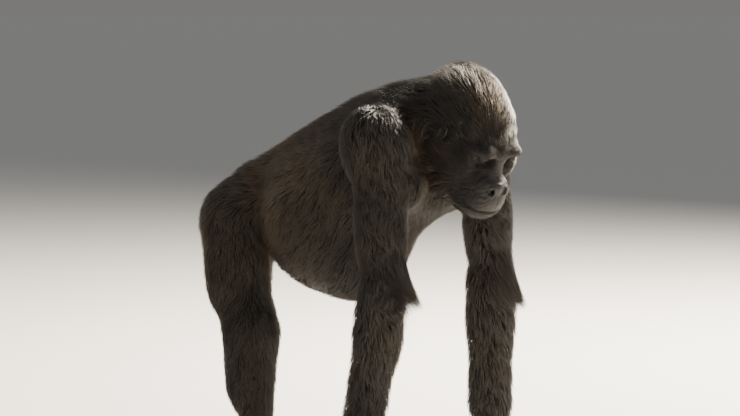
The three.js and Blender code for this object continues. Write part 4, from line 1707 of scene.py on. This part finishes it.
@dataclass
class Coat:
    """The locks: thin closed tufts of three sides that rise from the skin and lie along it.

    A lock's ring k lies at root + way·length·t, put back at height·lift(t) over the skin, so it
    follows the body round. The tips reach up to the coat's outline.
    """

    anatomy: Anatomy
    markings: Markings
    lay: Lay
    seed: int = 20
    budget: int = 138_000
    most_in_piece: int = 19_500
    layers: float = 7.0
    slenderness: float = 0.052
    fullness: float = 0.55  # a lock's area as a share of its length by its width
    full_from: tuple[float, float] = (3.0, 9.0)
    thin_from: tuple[float, float] = (1.6, 2.4)
    thin_layers: float = 0.5
    width: tuple[float, float] = (0.8, 2.6)
    length: tuple[float, float] = (7.0, 60.0)
    length_by_depth: float = 2.35
    shaft: tuple[float, ...] = (0.0, 0.42, 1.0)
    lift: tuple[float, ...] = (-0.10, 0.62, 1.0)
    girth: tuple[float, ...] = (1.0, 0.86, 0.0)
    section: tuple[tuple[float, float], ...] = ((0.5, 0.0), (0.0, 0.42), (-0.5, 0.0))
    patch: float = 0.003
    margin: float = 0.01
    used: float = 0.97
    lowest: float = 1.5
    stray: float = 0.13
    longer: tuple[float, float] = (0.72, 1.25)
    wider: tuple[float, float] = (0.75, 1.2)
    raised: tuple[float, float] = (0.40, 0.65)
    uneven: float = 0.25
    patchy: tuple[float, float] = (0.22, 30)
    tuft_from: tuple[float, float, float] = (26, 0, 24)
    tuft_radius: tuple[float, float] = (58, 26)
    tuft_share: float = 0.75
    tuft_scatter: tuple[float, float, float] = (3, 6, 4)
    tuft_reach: tuple[float, float] = (0.66, 1.0)
    tuft_arch: float = 30.0

    def _sizes(self, depth: np.ndarray) -> tuple[np.ndarray, np.ndarray]:
        """A lock's length and width for a depth of coat."""
        length = np.clip(depth * self.length_by_depth, *self.length)
        return length, np.clip(length * self.slenderness, *self.width)

    def _density(self, depth: np.ndarray) -> np.ndarray:
        """Locks per square millimetre: as many as lie over each other in the wanted layers.

        Args:
            depth: The coat's depth.

        Returns:
            Locks per square millimetre.
        """
        length, width = self._sizes(depth)
        layers = self.layers * ease(*self.full_from, depth) + self.thin_layers * ease(*self.thin_from, depth)
        return layers / (length * width * self.fullness)

    def roots(self, skin: Surface, random: np.random.Generator) -> tuple[np.ndarray, np.ndarray]:
        """Places and normals of the roots, spread over the skin by area and density.

        Args:
            skin: The skin.
            random: The generator.

        Returns:
            The places and the normals.
        """
        corners = skin.points[skin.faces]
        area = np.linalg.norm(skin.face_normals(), axis=1) / 2
        weight = area * self._density(self.markings.depth(corners.mean(axis=1)))
        count = int(min(weight.sum(), self.budget))
        log.info("locks wanted %d, made %d", int(weight.sum()), count)
        along = np.cumsum(weight) / weight.sum()
        face = np.searchsorted(along, (np.arange(count) + random.random(count)) / count)
        face = np.minimum(face, len(along) - 1)
        a, b = np.sqrt(random.random(count)), random.random(count)
        share = np.stack((1 - a, a * (1 - b), a * b), axis=1)[..., None]
        normals = unit((skin.normals()[skin.faces[face]] * share).sum(axis=1))
        return (corners[face] * share).sum(axis=1), normals

    def _walk(
        self,
        roots: np.ndarray,
        normals: np.ndarray,
        way: np.ndarray,
        length: np.ndarray,
        height: np.ndarray,
    ) -> tuple[np.ndarray, np.ndarray, np.ndarray]:
        """Walks each lock over the skin, from ring to ring.

        Args:
            roots: Where the locks start.
            normals: The skin's normals there.
            way: The way each lies.
            length: Each one's length.
            height: How high its tip stands.

        Returns:
            The rings' centres, sideways directions and outward directions, each locks by rings by 3.
        """
        blend = self.anatomy.skin
        place, out = roots.copy(), normals
        centres, sides, outs = [], [], []
        for ring, (t, lift) in enumerate(zip(self.shaft, self.lift)):
            if ring:
                step = (t - self.shaft[ring - 1]) * length
                place = place + way * step[:, None]
                out = blend.normal(place)
                place = place + out * (height * lift - blend.distance(place))[:, None]
                way = unit(way - out * np.sum(way * out, axis=1, keepdims=True))
                centres.append(place)
            else:
                centres.append(roots + normals * (height * lift)[:, None])
            sides.append(np.cross(out, way))
            outs.append(out)
        return tuple(np.stack(a, axis=1) for a in (centres, sides, outs))

    def _gather(self, roots: np.ndarray, centres: np.ndarray, random: np.random.Generator) -> None:
        """Draws the locks in front of each elbow into its long tuft: their rings move to the straight
        way from the root to the tuft's tip, with a slight arch.

        Args:
            roots: Where the locks start.
            centres: The rings' centres, which are changed.
            random: The generator.
        """
        for bones in self.anatomy.bones.values():
            away = (roots - bones.elbow - self.tuft_from) / (1.0, 1.0, 1.6)
            near = ease(*self.tuft_radius, np.linalg.norm(away, axis=1))
            drawn = near * (random.random(len(roots)) < self.tuft_share)
            tip = bones.elbow + bones.tuft + random.normal(0, 1.0, roots.shape) * self.tuft_scatter
            reach = random.uniform(*self.tuft_reach, (len(roots), 1))
            for ring, t in enumerate(self.shaft[1:], start=1):
                goal = roots + (tip - roots) * reach * t + vec(0, 0, self.tuft_arch) * t * (1 - t)
                centres[:, ring] += (goal - centres[:, ring]) * drawn[:, None]

    def _unwrap(self, part: str, points: np.ndarray) -> np.ndarray:
        """A place on the unwrap of a part: the angle round its bone and the distance along it.

        Args:
            part: The part.
            points: Places, N by 3.

        Returns:
            Where each place lies on the unwrap, 0 to 1.
        """
        kind, _, word = part.rpartition("_")
        if part in ("trunk", "neck", "head"):
            ends = {
                "trunk": (vec(-120, 0, 540), vec(560, 0, 790)),
                "neck": (vec(440, 0, 740), vec(600, 0, 800)),
                "head": (vec(520, -10, 850), vec(720, -20, 640)),
            }[part]
        else:
            b = self.anatomy.bones[Side[word.upper()]]
            ends = {
                "upper_arm": (b.shoulder + vec(0, 0, 90), b.elbow),
                "forearm": (b.elbow + vec(0, 0, 50), b.wrist),
                "hand": (b.wrist + vec(0, 0, 30), b.knuckle * (1, 1, 0)),
                "thigh": (b.hip + vec(0, 0, 130), b.knee),
                "shin": (b.knee + vec(0, 0, 70), b.ankle * (1, 1, 0.8)),
                "foot": (b.foot(-80, 0, 30), b.foot(150, 0, 10)),
            }[kind]
        bone = ends[1] - ends[0]
        along = (points - ends[0]) @ bone / (bone @ bone)
        first = unit(np.cross(bone, vec(0.3, 1, 0.2)))
        second = np.cross(unit(bone), first)
        q = points - ends[0] - along[:, None] * bone
        turn = np.arctan2(q @ second, q @ first) / (2 * np.pi) + 0.5
        return self.margin + self.used * np.stack((turn, np.clip(along, 0, 1)), axis=1)

    def _pieces(self, part: str, roots: np.ndarray) -> list[tuple[str, np.ndarray]]:
        """The coat pieces of one part, with each one's locks: by side where the part has two sides,
        and in runs along the part where there would be too many.

        Args:
            part: The part.
            roots: Its locks' places on the unwrap and their Y, as N by 3.

        Returns:
            Names and indices.
        """
        groups = [(f"coat_{part}", np.arange(len(roots)))]
        if part in ("trunk", "neck", "head"):
            groups = [
                (f"coat_{part}_{side.word}", np.nonzero(roots[:, 2] * side.value > 0)[0]) for side in Side
            ]
        pieces = []
        for name, chosen in groups:
            runs = math.ceil(len(chosen) / self.most_in_piece)
            order = chosen[np.argsort(roots[chosen, 1], kind="stable")]
            for index, run in enumerate(np.array_split(order, runs)):
                pieces.append((name if runs == 1 else f"{name}_{index + 1}", run))
        return pieces

    def locks(
        self, centres: np.ndarray, sides: np.ndarray, outs: np.ndarray, width: np.ndarray
    ) -> Surface:
        """Tufts from their rings: three points round each ring but the last, where they meet.

        Args:
            centres: The rings' centres, locks by rings by 3.
            sides: The directions across.
            outs: The directions outward.
            width: Each lock's width.

        Returns:
            One surface that holds them all.
        """
        count, rings = len(centres), len(self.shaft)
        spread = np.array(self.section)
        girth = (width[:, None] * np.array(self.girth[:-1]))[..., None, None]
        across, out = (spread[None, None, :, axis, None] for axis in (0, 1))
        around = across * sides[:, :-1, None] + out * outs[:, :-1, None]
        shafts = centres[:, :-1, None] + around * girth
        points = np.concatenate([shafts.reshape(count, -1, 3), centres[:, -1:]], axis=1)
        tip = 3 * (rings - 1)
        faces = [(0, 2, 1)]
        for ring in range(rings - 2):
            for j in range(3):
                a, b = 3 * ring + j, 3 * ring + (j + 1) % 3
                faces += [(a, b, b + 3), (a, b + 3, a + 3)]
        faces += [(tip - 3 + j, tip - 3 + (j + 1) % 3, tip) for j in range(3)]
        start = np.arange(count)[:, None, None] * (tip + 1)
        return Surface(points.reshape(-1, 3), (np.array(faces)[None] + start).reshape(-1, 3))

    def build(self, skin: Surface, modeller: Modeller, material: bpy.types.Material) -> None:
        """Grows the whole coat and makes its pieces.

        Args:
            skin: The skin.
            modeller: Makes the meshes.
            material: The hair's finish.
        """
        random = np.random.default_rng(self.seed)
        roots, normals = self.roots(skin, random)
        depth = self.markings.depth(roots)
        shares = self.anatomy.skin.shares(roots)
        way = self.lay.at(roots, normals, shares)
        way = unit(way + np.cross(normals, way) * random.normal(0, self.stray, (len(roots), 1)))
        length, width = self._sizes(depth)
        length = length * random.uniform(*self.longer, len(roots))
        width = width * random.uniform(*self.wider, len(roots))
        least, more = self.raised
        height = depth * (least + more * np.sqrt(random.random(len(roots))))
        share, size = self.patchy
        lock = 0.5 + self.uneven * random.normal(size=len(roots)) + share * waves(roots, size, 21)
        lock = np.clip(lock, 0, 1)
        warm = self.markings.warm(roots)
        centres, sides, outs = self._walk(roots, normals, way, length, height)
        self._gather(roots, centres, random)
        centres[..., 2] = np.maximum(centres[..., 2], self.lowest)
        names = list(shares)
        owner = np.argmax(np.stack([shares[name] for name in names]), axis=0)
        steps = np.append(np.repeat(self.shaft[:-1], 3), 1.0)
        corner = np.append(np.tile((0.0, 0.5, 1.0), len(self.shaft) - 1), 0.5)
        for index, part in enumerate(names):
            mine = np.nonzero(owner == index)[0]
            if not len(mine):
                continue
            places = self._unwrap(part, roots[mine])
            for name, chosen in self._pieces(part, np.column_stack((places, roots[mine, 1]))):
                own = mine[chosen]
                values = {
                    "Along": np.tile(steps, len(own)),
                    "Lock": np.repeat(lock[own], len(steps)),
                    "Warm": np.repeat(warm[own], len(steps)),
                }
                patch = np.stack((corner, steps), axis=1) * self.patch
                unwrap = (places[chosen][:, None] + patch[None]).reshape(-1, 2)
                surface = self.locks(centres[own], sides[own], outs[own], width[own])
                modeller.piece(name, surface, material, values=values, unwrap=unwrap)


# ------------------------------------------------------------------------------ studio
@dataclass(frozen=True)
class Lamp:
    """A square light: metres right, up and towards the camera, its side, watts and colour."""

    name: str
    right: float
    up: float
    back: float
    size: float
    power: float
    tint: tuple[float, float, float]


@dataclass(frozen=True)
class Studio:
    """A pale floor, soft light from above and behind, and the camera."""

    azimuth: float = 35.0
    elevation: float = 4.0
    distance: float = 6.3
    lens: float = 135.7
    target: tuple[float, float, float] = (0.388, -0.095, 0.619)
    floor_size: float = 2400.0
    floor_colour: tuple = colour(0.50, 0.485, 0.46)
    floor_roughness: float = 0.9
    sky_colour: tuple = colour(0.80, 0.82, 0.84)
    horizon_colour: tuple = colour(0.407, 0.400, 0.391)
    sky_strength: float = 0.48
    sky_rise: tuple[float, float] = (0.06, 0.5)
    lit_height: float = 0.6
    lamps: tuple[Lamp, ...] = (
        Lamp("rim", 2.8, 3.6, -2.6, 1.3, 3300, (1.0, 0.91, 0.78)),
        Lamp("key", 1.0, 2.8, 2.8, 2.6, 40, (1.0, 0.98, 0.95)),
        Lamp("fill", -3.0, 1.4, 2.4, 3.0, 32, (0.93, 0.96, 1.0)),
    )

    def _back(self) -> Vector:
        """From the target towards the camera."""
        a, e = math.radians(self.azimuth), math.radians(self.elevation)
        return Vector((math.sin(a) * math.cos(e), -math.cos(a) * math.cos(e), math.sin(e)))

    def camera(self, placement: Placement) -> None:
        """Adds the camera.

        Args:
            placement: Where the frame is.
        """
        data = bpy.data.cameras.new("camera")
        data.lens = self.lens
        made = bpy.data.objects.new("camera", data)
        target = Vector(self.target) + Vector(placement.shift)
        made.location = target + self._back() * self.distance
        made.rotation_mode = "QUATERNION"
        made.rotation_quaternion = (-self._back()).to_track_quat("-Z", "Y")
        bpy.context.scene.collection.objects.link(made)
        bpy.context.scene.camera = made

    def light(self, lamp: Lamp) -> None:
        """Adds a square soft light that looks at the animal.

        Args:
            lamp: The lamp.
        """
        data = bpy.data.lights.new(lamp.name, "AREA")
        data.shape, data.size, data.energy, data.color = "SQUARE", lamp.size, lamp.power, lamp.tint
        made = bpy.data.objects.new(lamp.name, data)
        azimuth = math.radians(self.azimuth)
        flat = Vector((math.sin(azimuth), -math.cos(azimuth), 0))
        side = Vector((-flat.y, flat.x, 0))
        middle = Vector((0, 0, self.lit_height))
        made.location = middle + side * lamp.right + flat * lamp.back + Vector((0, 0, lamp.up))
        made.rotation_euler = (middle - made.location).to_track_quat("-Z", "Y").to_euler()
        bpy.context.scene.collection.objects.link(made)

    def floor(self) -> None:
        """Adds the floor, under the soles and far out to the horizon."""
        half = self.floor_size / 2
        mesh = bpy.data.meshes.new("floor")
        corners = [(x * half, y * half, 0) for x, y in ((-1, -1), (1, -1), (1, 1), (-1, 1))]
        mesh.from_pydata(corners, [], [(0, 1, 2, 3)])
        made = bpy.data.objects.new("floor", mesh)
        bpy.context.scene.collection.objects.link(made)
        material, tree, shader = new_material("Floor")
        tree.fill(shader, Base_Color=self.floor_colour, Roughness=self.floor_roughness)
        mesh.materials.append(material)

    def sky(self) -> None:
        """Adds the sky, which is as dark as the far floor at the horizon and paler above."""
        world = bpy.data.worlds.new("sky")
        world.use_nodes = True
        tree = NodeTree(world.node_tree)
        ahead = tree.node("ShaderNodeTexCoord").outputs["Generated"]
        up = tree.node("ShaderNodeSeparateXYZ", Vector=ahead).outputs["Z"]
        low, high = self.sky_rise
        smooth = {"interpolation_type": "SMOOTHSTEP"}
        height = tree.node("ShaderNodeMapRange", smooth, Value=up, From_Min=low, From_Max=high)
        shade = tree.mix(height.outputs["Result"], self.horizon_colour, self.sky_colour)
        tree.fill(world.node_tree.nodes["Background"], Color=shade, Strength=self.sky_strength)
        bpy.context.scene.world = world

    def build(self, placement: Placement) -> None:
        """Sets up the whole studio.

        Args:
            placement: Where the frame is.
        """
        self.camera(placement)
        self.floor()
        self.sky()
        for lamp in self.lamps:
            self.light(lamp)


# ------------------------------------------------------------------------------ the whole animal
def flesh_nodes() -> tuple[str, ...]:
    """The solids that the one skin stands for.

    Returns:
        The solids' names.
    """
    names = ["pelvis", "belly", "chest", "neck", "head"]
    for side in Side:
        singles = ("upper_arm", "forearm", "hand", "thumb", "thigh", "shin", "foot", "big_toe")
        names += [f"{name}_{side.word}" for name in singles]
        names += [f"{kind}_{index}_{side.word}" for kind in ("finger", "toe") for index in range(1, 5)]
    return tuple(names)


def main() -> None:
    """Builds the studio and the animal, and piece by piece."""
    logging.basicConfig(level=logging.INFO, format="%(name)s: %(message)s")
    anatomy = Anatomy()
    markings = Markings(anatomy)
    eyes = Eyes(anatomy)
    placement = Placement(eyes.centre(Side.RIGHT))
    modeller = Modeller(placement)
    Studio().build(placement)

    colours = CoatColours()
    hide = SkinFinish().material("Skin", colours)
    bare = SkinFinish().material("Ear skin", colours, furred=False)
    wet = EyeFinish().material()
    horn = NailFinish().material()

    skin, values = Skin(anatomy, markings).build()
    modeller.piece("skin", skin, hide, replaces=flesh_nodes(), values=values)
    for side in Side:
        ball, gaze = eyes.build(side)
        node = f"eye_{side.word}"
        modeller.piece(f"eyeball_{side.word}", ball, wet, replaces=(node,), values={"Gaze": gaze})
        ear = Ears().build(anatomy, side, placement)
        modeller.piece(f"auricle_{side.word}", ear, bare, replaces=(f"ear_{side.word}",))
        for kind, fingers in (("finger", True), ("toe", False)):
            plates, along = Nails().build(anatomy, anatomy.bones[side], fingers)
            modeller.piece(f"{kind}nails_{side.word}", plates, horn, values={"Along": along})
    Coat(anatomy, markings, Lay(anatomy)).build(skin, modeller, CoatFinish().material(colours))


if __name__ == "__main__":
    main()
